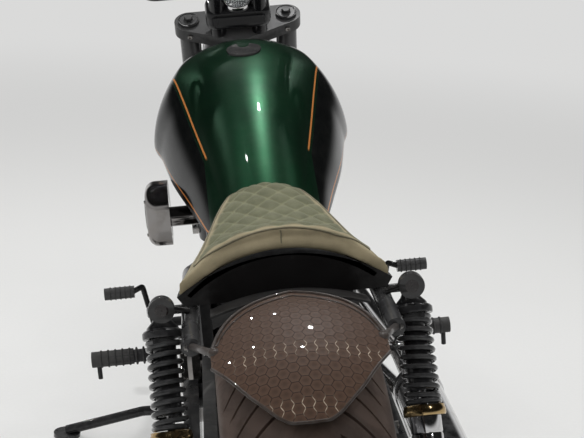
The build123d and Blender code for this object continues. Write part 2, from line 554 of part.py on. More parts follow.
# Finned cylinders, and heads with their rocker covers
cylinders = []
heads = []
for bank in vee:
    barrel = Pos(0, 0, DECK) * Cylinder(BARREL_R, BARREL_LONG, align=(Align.CENTER, Align.CENTER, Align.MIN))
    for step in range(FINS):
        up = DECK + BARREL_LONG / FINS * (step + 0.4)
        fin_r = min(FIN_R, up * tan(radians(VEE_HALF)) - 1.5)
        barrel += Pos(0, 0, up) * Cylinder(fin_r, FIN_THICK, align=(Align.CENTER, Align.CENTER, Align.MIN))
    cylinders.append(bank.location * barrel)
    head_foot = DECK + BARREL_LONG
    block = Rectangle(2 * HEAD_HALF, 2 * HEAD_HALF)
    top = Pos(0, 0, head_foot) * extrude(fillet(block.vertices(), 26), amount=HEAD_LONG)
    for step in range(3):
        groove = fillet(Rectangle(2 * HEAD_HALF, 2 * HEAD_HALF).vertices(), 26) - fillet(
            Rectangle(2 * HEAD_HALF - 20, 2 * HEAD_HALF - 20).vertices(), 18)
        top -= Pos(0, 0, head_foot + 12 + step * 16) * extrude(groove, amount=8)
    cover_plan = fillet(Rectangle(1.7 * HEAD_HALF, 1.7 * HEAD_HALF).vertices(), 30)
    cover = Pos(0, 0, head_foot + HEAD_LONG) * extrude(cover_plan, amount=ROCKER_LONG, taper=12)
    ear = Pos(-HEAD_HALF - EAR_WIDE / 2 + 1, 0, head_foot + EAR_FOOT) * Box(
        EAR_WIDE + 2, 76, HEAD_LONG - EAR_FOOT, align=(Align.CENTER, Align.CENTER, Align.MIN))
    heads.append(bank.location * (top + ear + cover))
cylinders = Compound(children=cylinders)
cylinder_heads = Compound(children=heads)

# Covers on the engine's two sides
primary_side = make_hull([*(Pos(CRANK_F, CRANK_Z) * Circle(CRANKCASE_R - 6)).edges(),
                          *(Pos(GEARBOX_F, FRONT_PULLEY_Z - 20) * Circle(GEARBOX_R - 4)).edges()])
primary_cover = plate(primary_side, CASE_HALF + SEAT_GAP, PRIMARY_L)
primary_cover = chamfer(primary_cover.edges().group_by(Axis.X)[-1], 9)
primary_cover += cross(PRIMARY_L, PRIMARY_L + PRIMARY_DOME, GEARBOX_F, FRONT_PULLEY_Z - 20, GEARBOX_R - 26)
primary_cover += cross(PRIMARY_L, PRIMARY_L + PRIMARY_DOME * 0.5, CRANK_F, CRANK_Z, CRANKCASE_R - 44)
front_drive_r = FRONT_PULLEY_R + BELT_THICK
belt_clear = make_hull([*(Pos(0, REAR_TYRE_R) * Circle(drive_r + SWING_GAP)).edges(),
                        *(Pos(FRONT_PULLEY_F, FRONT_PULLEY_Z) * Circle(front_drive_r + SWING_GAP)).edges()])
primary_cover -= plate(belt_clear, BELT_L - SWING_GAP, pulley_out + SWING_GAP)
gear_side = make_hull([*(Pos(CRANK_F, CRANK_Z + 10) * Circle(92)).edges(),
                       *(Pos(CRANK_F + 20, CRANK_Z + 70) * Circle(56)).edges()])
gear_cover = mirrored(plate(gear_side, CASE_HALF + SEAT_GAP, GEAR_COVER_L))
gear_cover = chamfer(gear_cover.edges().group_by(Axis.X)[0], 6)

# Pushrod tubes on the right
pushrods = []
for bank in vee:
    for across in (-PUSHROD_APART, PUSHROD_APART):
        foot = Vector(-CASE_HALF - 16, across, DECK - 24)
        tip = Vector(-HEAD_HALF - 21, across * 1.4, DECK + BARREL_LONG + EAR_FOOT - SEAT_GAP)
        tube = rod(bank.from_local_coords(foot), bank.from_local_coords(tip), PUSHROD_R)
        pushrods.append(tube - gear_cover - heads)
pushrod_tubes = Compound(children=pushrods)

# Rounded intake cover between the cylinders, on the left
cover_face = fillet((Pos(COVER_F, COVER_Z) * Rectangle(COVER_WIDE, COVER_TALL)).vertices(), 44)
intake_cover = plate(cover_face, COVER_IN, COVER_OUT)
intake_cover = fillet(intake_cover.edges().group_by(Axis.X)[-1], 22)
intake_cover += cross(-18, COVER_IN, COVER_F, COVER_Z - 10, 21)
for bank, side, head in zip(vee, (-1, 1), heads):
    face = bank.from_local_coords(Vector(0, side * (HEAD_HALF + SEAT_GAP), DECK + BARREL_LONG + PORT_UP))
    intake_cover += rod(spot(0, COVER_F, COVER_Z - 10), face, 17) - head

# Exhaust: a header from each head, and two long mufflers on the right
headers = []
for bank, side, route in ((vee[0], 1, (REAR_KNEE, (MUFFLER_L, ELBOW_F, UPPER_Z), (MUFFLER_L, UPPER_RUN[0], UPPER_Z))),
                          (vee[1], -1, (FRONT_KNEE, FRONT_LOW, (MUFFLER_L, ELBOW_F, LOWER_Z),
                                        (MUFFLER_L, LOWER_RUN[0], LOWER_Z)))):
    port_up = DECK + BARREL_LONG + PORT_UP
    port = bank.from_local_coords(Vector(PORT_L, side * (HEAD_HALF + SEAT_GAP), port_up))
    out = (port - bank.from_local_coords(Vector(PORT_L, 0, port_up))).normalized()
    headers.append(bent([port, port + out * (2.3 * PIPE_R), *[spot(*point) for point in route]], 1.6 * PIPE_R, PIPE_R))
exhaust_pipes = Compound(children=headers)
mufflers = []
for (start, end), z in ((UPPER_RUN, UPPER_Z), (LOWER_RUN, LOWER_Z)):
    mouth = start - SEAT_GAP
    body = rod(spot(MUFFLER_L, mouth - MUFFLER_CONE, z), spot(MUFFLER_L, end, z), MUFFLER_R)
    cone = loft([Plane(origin=spot(MUFFLER_L, mouth, z), z_dir=(0, 1, 0)) * Circle(PIPE_R + 2),
                 Plane(origin=spot(MUFFLER_L, mouth - MUFFLER_CONE, z), z_dir=(0, 1, 0)) * Circle(MUFFLER_R)])
    bore = rod(spot(MUFFLER_L, end + OUTLET_LONG, z), spot(MUFFLER_L, end - 1, z), MUFFLER_R - MUFFLER_WALL)
    mufflers.append(body + cone - bore)
mufflers = Compound(children=mufflers)

# Fuel tank: crowned top panel, bulging sides, and a tunnel over the backbone
tank_rings = []
for f, panel, edge_z, top_z, shoulder, shoulder_z, foot, floor_z in TANK:
    bowed = (panel + shoulder) / 2 + TANK_BULGE * (edge_z - shoulder_z)
    bowed_z = (edge_z + shoulder_z) / 2
    outline = [ThreePointArc((panel, edge_z), (0, top_z), (-panel, edge_z)),
               ThreePointArc((-panel, edge_z), (-bowed, bowed_z), (-shoulder, shoulder_z)),
               Line((-shoulder, shoulder_z), (-foot, floor_z)),
               Line((-foot, floor_z), (foot, floor_z)),
               Line((foot, floor_z), (shoulder, shoulder_z)),
               ThreePointArc((shoulder, shoulder_z), (bowed, bowed_z), (panel, edge_z))]
    section = Plane(origin=spot(0, f, 0), x_dir=(1, 0, 0), z_dir=(0, -1, 0))
    tank_rings.append(section * make_face(Curve() + outline))
fuel_tank = loft(tank_rings)
roof = BACKBONE_R + SEAT_GAP
slopes = [atan2((a - b).Z, (b - a).Y) for a, b in zip(backbone_line, backbone_line[1:])]
lifts = [roof / cos(slopes[0]), roof / cos(slopes[0]), roof / cos(slopes[1])]
tunnel_top = [(-p.Y, p.Z + lift) for p, lift in zip(backbone_line, lifts)]
tunnel_nose = tunnel_top[0][0] + 200
tunnel_tail = tunnel_top[2][0] - 60
tunnel = Polyline((tunnel_nose, tunnel_top[0][1] + 90), tunnel_top[0], tunnel_top[1], tunnel_top[2],
                  (tunnel_tail, tunnel_top[2][1]), (tunnel_tail, 500), (tunnel_nose, 500), close=True)
fuel_tank -= plate(make_face(tunnel), -roof - 4, roof + 4)
nose_room = []
for f, half, foot_z, edge_z, under_z, top_z in SEAT[:3]:
    section = Plane(origin=spot(0, f, 0), x_dir=(1, 0, 0), z_dir=(0, -1, 0))
    floor_z = foot_z - PAN_DEEP - SEAT_GAP
    nose_room.append(section * make_face(Polyline((-half - 1, floor_z), (half + 1, floor_z), (half + 1, top_z + 40),
                                                  (-half - 1, top_z + 40), close=True)))
fuel_tank -= loft(nose_room)
cap_seat = Plane(origin=spot(0, CAP_F, CAP_Z), x_dir=(1, 0, 0), z_dir=(0, 0.2, 1))
fuel_tank -= cap_seat * Cylinder(CAP_R + SEAT_GAP, 40, align=(Align.CENTER, Align.CENTER, Align.MIN))
filler_cap = cap_seat * (Pos(0, 0, SEAT_GAP) * Cylinder(CAP_R, CAP_DEEP, align=(Align.CENTER, Align.CENTER, Align.MIN)))

# Solo seat and the tail shell under it
seat_rings = []
pan_rings = []
for f, half, foot_z, edge_z, under_z, top_z in SEAT:
    section = Plane(origin=spot(0, f, 0), x_dir=(1, 0, 0), z_dir=(0, -1, 0))
    under = ThreePointArc((-half, foot_z), (0, under_z), (half, foot_z))
    crown = ThreePointArc((half, edge_z), (0, top_z), (-half, edge_z))
    seat_rings.append(section * make_face(Curve() + [under, Line((half, foot_z), (half, edge_z)), crown,
                                                     Line((-half, edge_z), (-half, foot_z))]))
    roof_arc = ThreePointArc((-half, foot_z - SEAT_GAP), (0, under_z - SEAT_GAP), (half, foot_z - SEAT_GAP))
    base = foot_z - PAN_DEEP
    pan_rings.append(section * make_face(Curve() + [roof_arc, Line((half, foot_z - SEAT_GAP), (half * 0.94, base)),
                                                    Line((half * 0.94, base), (-half * 0.94, base)),
                                                    Line((-half * 0.94, base), (-half, foot_z - SEAT_GAP))]))
seat = loft(seat_rings)
tail_shell = loft(pan_rings)

# Rear fender: a crowned band with a tapered lip
fender_outer = ThreePointArc((FENDER_SIDE_R, -FENDER_HALF), (FENDER_R, 0), (FENDER_SIDE_R, FENDER_HALF))
fender_inner = ThreePointArc((FENDER_SIDE_R - FENDER_WALL, FENDER_HALF), (FENDER_R - FENDER_WALL, 0),
                             (FENDER_SIDE_R - FENDER_WALL, -FENDER_HALF))
fender_in = FENDER_SIDE_R - FENDER_WALL
fender_face = make_face(Curve() + [fender_outer, Line((FENDER_SIDE_R, FENDER_HALF), (fender_in, FENDER_HALF)),
                                   fender_inner, Line((fender_in, -FENDER_HALF), (FENDER_SIDE_R, -FENDER_HALF))])
lip_left = [(l, FENDER_R * sin(radians(turn))) for l, turn in FENDER_LIP]
lip_right = [(-l, y) for l, y in reversed(lip_left[:-1])]
front_y = FENDER_R * sin(radians(FENDER_FRONT))
fender_plan = Polyline((-FENDER_HALF - 1, front_y), (FENDER_HALF + 1, front_y), *lip_left, *lip_right, close=True)
fender_keep = Pos(0, 0, REAR_TYRE_R) * extrude(make_face(fender_plan), amount=FENDER_R + 1)
rear_fender = turned(fender_face, REAR_AXLE) & fender_keep
guard_plan = Pos(0, (front_y - INNER_GUARD_REACH) / 2, REAR_TYRE_R) * Box(
    2 * FENDER_HALF, INNER_GUARD_REACH + front_y, FENDER_R + 1, align=(Align.CENTER, Align.CENTER, Align.MIN))
inner_guard = scale(turned(fender_face, (0, 0, 0)), by=(0.97, INNER_GUARD_SCALE, INNER_GUARD_SCALE))
tail_shell += (Pos(*REAR_AXLE) * inner_guard) & guard_plan
for side in (-1, 1):
    rear_fender += rod(spot(side * (FENDER_HALF - 3), 4, REAR_TYRE_R + FENDER_SIDE_R - 3),
                       spot(side * STRUT_L, 4, strut_z), 6)
clear_strut = bent(strut_line, 60.0, STRUT_R + SEAT_GAP)
rear_fender -= clear_strut
rear_fender -= mirrored(clear_strut)

# Signals, side covers, pegs, foot controls and the rear caliper
signal_line = make_face(Curve() + [Line((0, 0), (SIGNAL_R, 0)), Line((SIGNAL_R, 0), (SIGNAL_R, SIGNAL_RIM)),
                                   dome(SIGNAL_R, SIGNAL_LONG - SIGNAL_RIM, SIGNAL_RIM, 1),
                                   Line((0, SIGNAL_LONG), (0, 0))])


def signal(l, f, z, ahead):
    """A bullet signal whose lens faces ahead (-1 for the rear, 1 for the front)."""
    base = Plane(origin=spot(l, f, z), x_dir=(1, 0, 0), z_dir=(0, 0, ahead))
    return revolve(base * signal_line, axis=Axis(spot(l, f, z), (0, ahead, 0)))


rear_signal = signal(*SIGNAL, -1)
rear_signal += rod(spot(STRUT_L, SIGNAL[1] + 10, SIGNAL[2] - 8),
                   spot(SIGNAL[0] - 10, SIGNAL[1] + 10, SIGNAL[2]), 5.0)
rear_signal -= strut
rear_signals = pair(rear_signal)
front_leg = head_spot(FORK_SPREAD + FORK_TUBE_R + SEAT_GAP, FORK_OFFSET, SLIDER_TOP + 60)
front_signal = signal(FORK_SPREAD + 66, -front_leg.Y, front_leg.Z, 1)
front_signal += rod(front_leg, front_leg + Vector(46, 0, 0), 6.0)
front_signals = pair(front_signal)

side_face = fillet(Polygon((PIVOT_F - 56, 568), (PIVOT_F + 92, 570), (PIVOT_F + 84, 420), (PIVOT_F - 20, 400),
                           align=None).vertices(), 26)
side_cover = plate(side_face, CRADLE_L + CRADLE_R + SEAT_GAP, CRADLE_L + CRADLE_R + 26)
side_cover = chamfer(side_cover.edges().group_by(Axis.X)[-1], 6)
side_covers = pair(side_cover)

peg_l, peg_f, peg_z = PEG_TIP
peg = bent([spot(CRADLE_L + CRADLE_R * 0.7, ARM_ROOT_F, peg_z - 30), spot(ARM_L, ARM_ROOT_F, peg_z - 20),
            spot(ARM_L, peg_f, peg_z)], 34.0, ARM_R)
peg += cross(ARM_L - ARM_R - 3, peg_l - PEG_LONG + 1, peg_f, peg_z, ARM_R + 3)
peg += cross(peg_l - PEG_LONG, peg_l, peg_f, peg_z, PEG_R)
peg += rod(spot(peg_l - 14, peg_f, peg_z), spot(peg_l - 14, peg_f, peg_z - 44), 5.0)
peg -= rod(spot(CRADLE_L, *DOWNTUBE_TOP), spot(CRADLE_L, DOWNTUBE_FOOT_F, CRADLE_Z), CRADLE_R + SEAT_GAP)
rider_pegs = pair(peg)
pad_l, pad_f, pad_z = PAD_TIP
hinge_l = ARM_L + ARM_R + SEAT_GAP
lever_hinge = spot(hinge_l, peg_f + 90, peg_z - 6)
toe = rod(lever_hinge, lever_hinge + Vector(14, 0, 0), 12.0)
toe += bent([lever_hinge + Vector(7, 0, 0), spot(pad_l - PAD_LONG - 16, pad_f + 30, pad_z),
             spot(pad_l - PAD_LONG + 4, pad_f, pad_z)], 8.0, 6.0)
toe += cross(pad_l - PAD_LONG, pad_l, pad_f, pad_z, PAD_R)
foot_controls = pair(toe)

caliper_mid = REAR_AXLE + Vector(0, -118, 72)
rear_caliper = Pos(-(REAR_DISC_L + DISC_THICK / 2), caliper_mid.Y, caliper_mid.Z) * Box(44, 96, 60)
rear_caliper = Pos(-1.5, 0, 0) * rear_caliper
rear_caliper -= cross(-REAR_DISC_L - DISC_THICK - SWING_GAP, -REAR_DISC_L + SWING_GAP, 0, REAR_TYRE_R,
                      REAR_DISC_R + SWING_GAP)
bracket_in = REAR_DISC_L + DISC_THICK / 2 + 22
bracket_out = ARM_IN - SEAT_GAP
rear_caliper += Pos(-(bracket_out + bracket_in) / 2, caliper_mid.Y, REAR_TYRE_R + 47) * Box(
    bracket_out - bracket_in, 50, 76)
front_caliper = HEAD.location * (Pos(FORK_SPREAD - 30, 40, 104) * Box(62, 50, 100)
                                 + Pos(FORK_SPREAD - 8, 0, 104) * Box(24, 60, 60))
front_caliper -= rod(FRONT_AXLE + Vector(FRONT_DISC_L - SWING_GAP, 0, 0),
                     FRONT_AXLE + Vector(FRONT_DISC_L + DISC_THICK + SWING_GAP, 0, 0), FRONT_DISC_R + SWING_GAP)
slider_room = extrude(Circle(FORK_SLIDER_R + SEAT_GAP), amount=500)
front_caliper -= HEAD.location * (Pos(FORK_SPREAD, -FORK_OFFSET, SLIDER_FOOT) * slider_room)
front_calipers = pair(front_caliper)

# Front fender, a plain crowned band close over the tyre, carried on the sliders
guard_side = GUARD_R - GUARD_SAG
guard_outer = ThreePointArc((guard_side, -GUARD_HALF), (GUARD_R, 0), (guard_side, GUARD_HALF))
guard_in = GUARD_HALF - GUARD_WALL
guard_inner = ThreePointArc((guard_side, guard_in), (GUARD_R - GUARD_WALL, 0), (guard_side, -guard_in))
guard_face = make_face(Curve() + [guard_outer, Line((guard_side, GUARD_HALF), (guard_side, guard_in)),
                                  guard_inner, Line((guard_side, -guard_in), (guard_side, -GUARD_HALF))])
guard_keep = Polyline((0, 0), *[(600 * sin(radians(a)), 600 * cos(radians(a))) for a in GUARD_SPAN], close=True)
front_fender = turned(guard_face, FRONT_AXLE) & (Pos(*FRONT_AXLE) * plate(make_face(guard_keep), -200, 200))
for side in (-1, 1):
    stay_in = head_spot(side * (GUARD_HALF - 12), FORK_OFFSET, GUARD_STAY_UP)
    stay_out = head_spot(side * (FORK_SPREAD - FORK_SLIDER_R - SEAT_GAP), FORK_OFFSET, GUARD_STAY_UP)
    front_fender += rod(stay_in, stay_out, GUARD_STAY_R)

# Side stand: a leg with a flat foot, swinging on a stud of the frame
lean_tan = tan(radians(LEAN))
foot_z = STAND_FOOT[0] * lean_tan - DROP / cos(radians(LEAN))
foot_mid = spot(STAND_FOOT[0], STAND_FOOT[1], foot_z)
pivot_mid = spot(*STAND_PIVOT)
ground_up = Vector(-sin(radians(LEAN)), 0, cos(radians(LEAN)))
ankle = foot_mid + ground_up * (FOOT_THICK + STAND_R * 0.4)
side_stand = bent([pivot_mid + Vector(16, 0, 0), spot(*STAND_KNEE), ankle], 60.0, STAND_R)
side_stand += Plane(origin=foot_mid, z_dir=ground_up) * Cylinder(
    FOOT_R, FOOT_THICK, align=(Align.CENTER, Align.CENTER, Align.MIN))
fold_axis = Vector(0.21, 0.0, 0.978)
side_stand += Plane(origin=pivot_mid - fold_axis * 13, z_dir=fold_axis) * (
    Cylinder(18, 26, align=(Align.CENTER, Align.CENTER, Align.MIN))
    - Cylinder(STUD_R + RUN_GAP, 26, align=(Align.CENTER, Align.CENTER, Align.MIN)))
side_stand -= Plane(origin=pivot_mid - fold_axis * 30, z_dir=fold_axis) * Cylinder(
    STUD_R + RUN_GAP, 60, align=(Align.CENTER, Align.CENTER, Align.MIN))
stud = Plane(origin=pivot_mid - fold_axis * 20, z_dir=fold_axis) * Cylinder(
    STUD_R, 40, align=(Align.CENTER, Align.CENTER, Align.MIN))
main_frame += stud
for level in (-24, 15):
    ear_mid = pivot_mid + fold_axis * level
    ear = Plane(origin=ear_mid, x_dir=(0.978, 0, -0.21), z_dir=fold_axis) * extrude(
        make_hull([*Circle(14).edges(), *(Pos(-36, 0) * Rectangle(4, 40)).edges()]), amount=9)
    main_frame += ear

gusset = Pos(CRADLE_L + 5, pivot_mid.Y, CRADLE_Z + 8) * Box(10, 40, 44)
main_frame += gusset

parts = {
    "main_frame": main_frame,
    "swingarm": swingarm,
    "engine_case": engine_case,
    "cylinders": cylinders,
    "cylinder_heads": cylinder_heads,
    "pushrod_tubes": pushrod_tubes,
    "primary_cover": primary_cover,
    "gear_cover": gear_cover,
    "intake_cover": intake_cover,
    "exhaust_pipes": exhaust_pipes,
    "mufflers": mufflers,
    "fuel_tank": fuel_tank,
    "filler_cap": filler_cap,
    "seat": seat,
    "tail_shell": tail_shell,
    "rear_fender": rear_fender,
    "shock_bodies": shock_bodies,
    "shock_springs": shock_springs,
    "rear_signals": rear_signals,
    "side_covers": side_covers,
    "rider_pegs": rider_pegs,
    "foot_controls": foot_controls,
    "drive_belt": drive_belt,
    "rear_axle": rear_axle,
    "rear_caliper": rear_caliper,
    "triple_clamps": triple_clamps,
    "fork_tubes": fork_tubes,
    "fork_sliders": fork_sliders,
    "handlebar": handlebar,
    "grips": grips,
    "levers": levers,
    "headlamp": headlamp,
    "headlamp_lens": headlamp_lens,
    "front_fender": front_fender,
    "front_calipers": front_calipers,
    "front_axle": front_axle,
    "front_signals": front_signals,
    "front_tyre": front_tyre,
    "front_rim": front_rim,
    "front_discs": front_discs,
    "rear_tyre": rear_tyre,
    "rear_rim": rear_rim,
    "rear_disc": rear_disc,
    "rear_pulley": rear_pulley,
    "side_stand": side_stand,
}

# Lean the machine onto its stand, set both tyres on the ground, and put the origin under the middle of its box
leaned = {name: Pos(0, 0, DROP) * Rot(0, LEAN, 0) * solid for name, solid in parts.items()}
boxes = [solid.bounding_box() for solid in leaned.values()]
low = [min(tuple(box.min)[i] for box in boxes) for i in range(3)]
high = [max(tuple(box.max)[i] for box in boxes) for i in range(3)]
shift = Pos(-(low[0] + high[0]) / 2, -(low[1] + high[1]) / 2, -low[2])
os.makedirs("parts", exist_ok=True)
for name, solid in leaned.items():
    export_step(shift * solid, f"parts/{name}.step")


def placed(point):
    """A point of the upright machine in the finished part, in metres."""
    moved = (shift * Pos(0, 0, DROP) * Rot(0, LEAN, 0) * Pos(*point)).position
    return [round(value / 1000, 5) for value in moved]


def aimed(direction):
    """A direction of the upright machine in the finished part."""
    turned_to = (Rot(0, LEAN, 0) * Pos(*direction)).position.normalized()
    return [round(value, 5) for value in turned_to]


print("whole", low, high)
print("rear axle", placed(REAR_AXLE), aimed((1, 0, 0)))
print("front axle", placed(FRONT_AXLE), aimed((1, 0, 0)))
print("steering", placed(head_mid), aimed((0, SR, CR)))
print("stand", placed(pivot_mid), aimed(fold_axis))
print("bar", placed(spot(0, bar_f, bar_z)), "grip dir", aimed(grip_dir))
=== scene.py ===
"""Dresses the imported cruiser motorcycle: paint, chrome, rubber and a sewn seat around its fixed frame.

Sizes are in metres. A piece is modelled on the upright machine, with x to the rider's left, minus y forward and
z up from the ground, and is then leaned onto the side stand with the rest. A profile's points are (radius, distance
along the axis).
"""
import logging
import math
from dataclasses import dataclass
from enum import Enum
from typing import Callable, Sequence

import bmesh
import bpy
from mathutils import Matrix, Vector


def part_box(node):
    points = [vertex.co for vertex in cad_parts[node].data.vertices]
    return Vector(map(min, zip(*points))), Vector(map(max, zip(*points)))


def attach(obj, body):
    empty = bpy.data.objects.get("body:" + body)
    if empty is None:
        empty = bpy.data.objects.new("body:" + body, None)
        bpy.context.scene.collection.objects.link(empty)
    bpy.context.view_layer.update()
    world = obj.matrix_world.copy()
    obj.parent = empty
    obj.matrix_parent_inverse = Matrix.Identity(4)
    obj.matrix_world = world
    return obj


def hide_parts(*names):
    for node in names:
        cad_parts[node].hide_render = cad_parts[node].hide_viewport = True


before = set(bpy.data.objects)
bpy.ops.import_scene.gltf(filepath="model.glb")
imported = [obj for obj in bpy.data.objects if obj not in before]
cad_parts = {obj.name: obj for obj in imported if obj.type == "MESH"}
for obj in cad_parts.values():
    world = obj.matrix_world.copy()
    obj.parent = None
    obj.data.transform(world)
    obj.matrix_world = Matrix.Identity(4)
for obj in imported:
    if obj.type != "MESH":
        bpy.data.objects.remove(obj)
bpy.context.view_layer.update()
log = logging.getLogger("cruiser")

Piece = bpy.types.Object
Colour = tuple[float, float, float]
Pair = tuple[float, float]
Point = tuple[float, float, float]
Profile = Sequence[Pair]
Seat = tuple[Vector, Vector, float]

LEAN = math.radians(7.8)
REAR_TYRE_R = 0.325
WHEELBASE = 1.7
FRONT_AXLE_Z = 0.32125
CRANK = (0.905, 0.280)          # ahead of the rear axle, and up
GEAR_COVER = (0.905, 0.302)
INTAKE = (0.905, 0.585)
OUTSIDE = 0.5                   # further out than the engine, wheels and brakes
VEE = math.radians(22.5)        # each cylinder's lean from upright
FORK_LEFT = 0.115
FORK_CAP = (0.05, 0.0062)       # ahead of the steering axis, and up along it
STEERING_HEAD = (1.2756, 0.9054)   # the top clamp on the steering axis, ahead of the rear axle, and up
STRUT_EYE = (0.004, 0.6237)     # where a seat strut carries its fender stay
MERGE = 1e-5


def parked_matrix() -> Matrix:
    """The move from the upright machine to the one that leans on its stand.

    Returns:
        The matrix that puts the upright rear axle where the frame has it, leaned to the left.
    """
    low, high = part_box("rear_axle")
    turn = Matrix.Rotation(LEAN, 4, "Y")
    return Matrix.Translation((low + high) / 2 - turn @ Vector((0, 0, REAR_TYRE_R))) @ turn


PARKED = parked_matrix()
UPRIGHT = PARKED.inverted()


def spot(left: float, ahead: float, up: float) -> Vector:
    """A point of the upright machine: left of the middle, ahead of the rear axle and above the ground."""
    return Vector((left, -ahead, up))


REAR_AXLE = spot(0, 0, REAR_TYRE_R)
FRONT_AXLE = spot(0, WHEELBASE, FRONT_AXLE_Z)
OUT, BACK, UP = Vector((1, 0, 0)), Vector((0, 1, 0)), Vector((0, 0, 1))
FORK_UP = Vector((0, math.sin(math.radians(32)), math.cos(math.radians(32))))
FORK_AHEAD = Vector((0, -FORK_UP.z, FORK_UP.y))


class Body(Enum):
    """The moving bodies of the frame."""

    CHASSIS = "chassis"
    STEERING = "steering"
    FRONT_WHEEL = "front_wheel"
    REAR_WHEEL = "rear_wheel"
    SIDE_STAND = "side_stand"


# Modelling moves


def clear_selection() -> None:
    """Leaves edit mode, with nothing selected."""
    if bpy.context.object and bpy.context.object.mode != "OBJECT":
        bpy.ops.object.mode_set(mode="OBJECT")
    bpy.ops.object.select_all(action="DESELECT")


def take(piece: Piece) -> None:
    """Selects one piece alone and makes it active."""
    clear_selection()
    piece.select_set(True)
    bpy.context.view_layer.objects.active = piece


def edit(piece: Piece) -> None:
    """Opens a piece in edit mode with all of it selected."""
    take(piece)
    bpy.ops.object.mode_set(mode="EDIT")
    bpy.ops.mesh.select_all(action="SELECT")


def named(name: str) -> Piece:
    """Names the piece that was just added, with its mesh."""
    piece = bpy.context.object
    piece.name = piece.data.name = name
    return piece


def set_down(piece: Piece, matrix: Matrix) -> Piece:
    """Moves a piece by a matrix and puts the move into its mesh.

    Args:
        piece: The piece.
        matrix: The move.

    Returns:
        The same piece.
    """
    piece.matrix_world = matrix @ piece.matrix_world
    take(piece)
    bpy.ops.object.transform_apply(location=True, rotation=True, scale=True)
    return piece


def facing(centre: Vector, axis: Vector) -> Matrix:
    """A matrix that puts the origin at centre and turns z to axis."""
    return Matrix.Translation(centre) @ axis.to_track_quat("Z", "Y").to_matrix().to_4x4()


def faced_outwards(piece: Piece, merge: float = 0.0) -> Piece:
    """Points all faces outwards.

    Args:
        piece: The piece.
        merge: Points nearer than this are merged first.

    Returns:
        The same piece.
    """
    edit(piece)
    if merge:
        bpy.ops.mesh.remove_doubles(threshold=merge)
    bpy.ops.mesh.normals_make_consistent(inside=False)
    bpy.ops.object.mode_set(mode="OBJECT")
    return piece


def ring_of_points(name: str, points: Sequence[Vector], filled: bool) -> Piece:
    """A loop of points, started as a circle whose points are moved to their places.

    Args:
        name: The piece's name.
        points: The loop's points, in order.
        filled: Whether the loop gets a face.

    Returns:
        The flat piece.
    """
    clear_selection()
    bpy.ops.mesh.primitive_circle_add(vertices=len(points), radius=0.01, fill_type="NGON" if filled else "NOTHING")
    piece = named(name)
    for vertex, point in zip(piece.data.vertices, points):
        vertex.co = point
    return piece


def turned(name: str, profile: Profile, centre: Vector, axis: Vector, sides: int = 48, ring: bool = False) -> Piece:
    """A round piece: a profile spun about an axis.

    Args:
        name: The piece's name.
        profile: At least three points.
        centre: Where distance nought lies.
        axis: The way the distance runs.
        sides: Steps of the spin.
        ring: Whether the profile closes on itself, as on a tyre.

    Returns:
        The closed piece.
    """
    piece = ring_of_points(name, [Vector((radius, 0, along)) for radius, along in profile], False)
    edit(piece)
    if not ring:
        mesh = bmesh.from_edit_mesh(piece.data)
        mesh.verts.ensure_lookup_table()
        mesh.edges.remove(mesh.edges.get((mesh.verts[0], mesh.verts[len(profile) - 1])))
        bmesh.update_edit_mesh(piece.data)
    bpy.ops.mesh.spin(steps=sides, angle=math.tau, center=(0, 0, 0), axis=(0, 0, 1))
    return set_down(faced_outwards(piece, MERGE), facing(centre, axis))


def round_ring(name: str, radius: float, thick: float, centre: Vector, axis: Vector, sides: int = 40) -> Piece:
    """A ring of round section about an axis."""
    turns = (math.tau * i / 8 for i in range(8))
    profile = [(radius + thick * math.cos(turn), thick * math.sin(turn)) for turn in turns]
    return turned(name, profile, centre, axis, sides, ring=True)


def prism(name: str, outline: Profile, depth: float, placing: Matrix) -> Piece:
    """A flat outline, drawn in x and y, given its depth along z and set down.

    Args:
        name: The piece's name.
        outline: The outline's points, in order.
        depth: Its thickness along z.
        placing: Where it goes.

    Returns:
        The closed piece.
    """
    piece = ring_of_points(name, [Vector((x, y, 0)) for x, y in outline], True)
    edit(piece)
    bpy.ops.mesh.extrude_region_move(TRANSFORM_OT_translate={"value": (0, 0, depth)})
    return set_down(faced_outwards(piece, MERGE), placing)


def block(name: str, size: Point, edge: float, placing: Matrix) -> Piece:
    """A box with rounded edges.

    Args:
        name: The piece's name.
        size: Its length along x, y and z.
        edge: The width of its rounding.
        placing: Where its middle goes.

    Returns:
        The closed piece.
    """
    clear_selection()
    bpy.ops.mesh.primitive_cube_add(size=1)
    piece = set_down(named(name), placing @ Matrix.Diagonal((*size, 1)))
    return modified(piece, "BEVEL", width=edge, segments=3, limit_method="ANGLE")


def tube(name: str, points: Sequence[Vector], radius: float, sides: int = 12, steps: int = 8) -> Piece:
    """A round bar along a smooth line.

    Args:
        name: The piece's name.
        points: What leads the line.
        radius: The bar's radius.
        sides: Faces round the bar.
        steps: Faces from one point to the next.

    Returns:
        The bar, closed at its ends.
    """
    line = bpy.data.curves.new(name, "CURVE")
    line.dimensions = "3D"
    line.bevel_depth = radius
    line.bevel_resolution = max(0, sides // 4 - 1)
    line.use_fill_caps = True
    line.resolution_u = steps
    run = line.splines.new("NURBS")
    run.points.add(len(points) - 1)
    for knot, point in zip(run.points, points):
        knot.co = (*point, 1)
    run.order_u = 3
    run.use_endpoint_u = True
    piece = bpy.data.objects.new(name, line)
    bpy.context.scene.collection.objects.link(piece)
    take(piece)
    bpy.ops.object.convert(target="MESH")
    return faced_outwards(named(name), MERGE)


def modified(piece: Piece, kind: str, **settings: object) -> Piece:
    """Adds a modifier with its settings and applies it.

    Args:
        piece: The piece.
        kind: The modifier's type.
        **settings: Its properties.

    Returns:
        The same piece.
    """
    take(piece)
    modifier = piece.modifiers.new(kind.lower(), kind)
    for name, value in settings.items():
        setattr(modifier, name, value)
    bpy.ops.object.modifier_apply(modifier=modifier.name)
    return piece


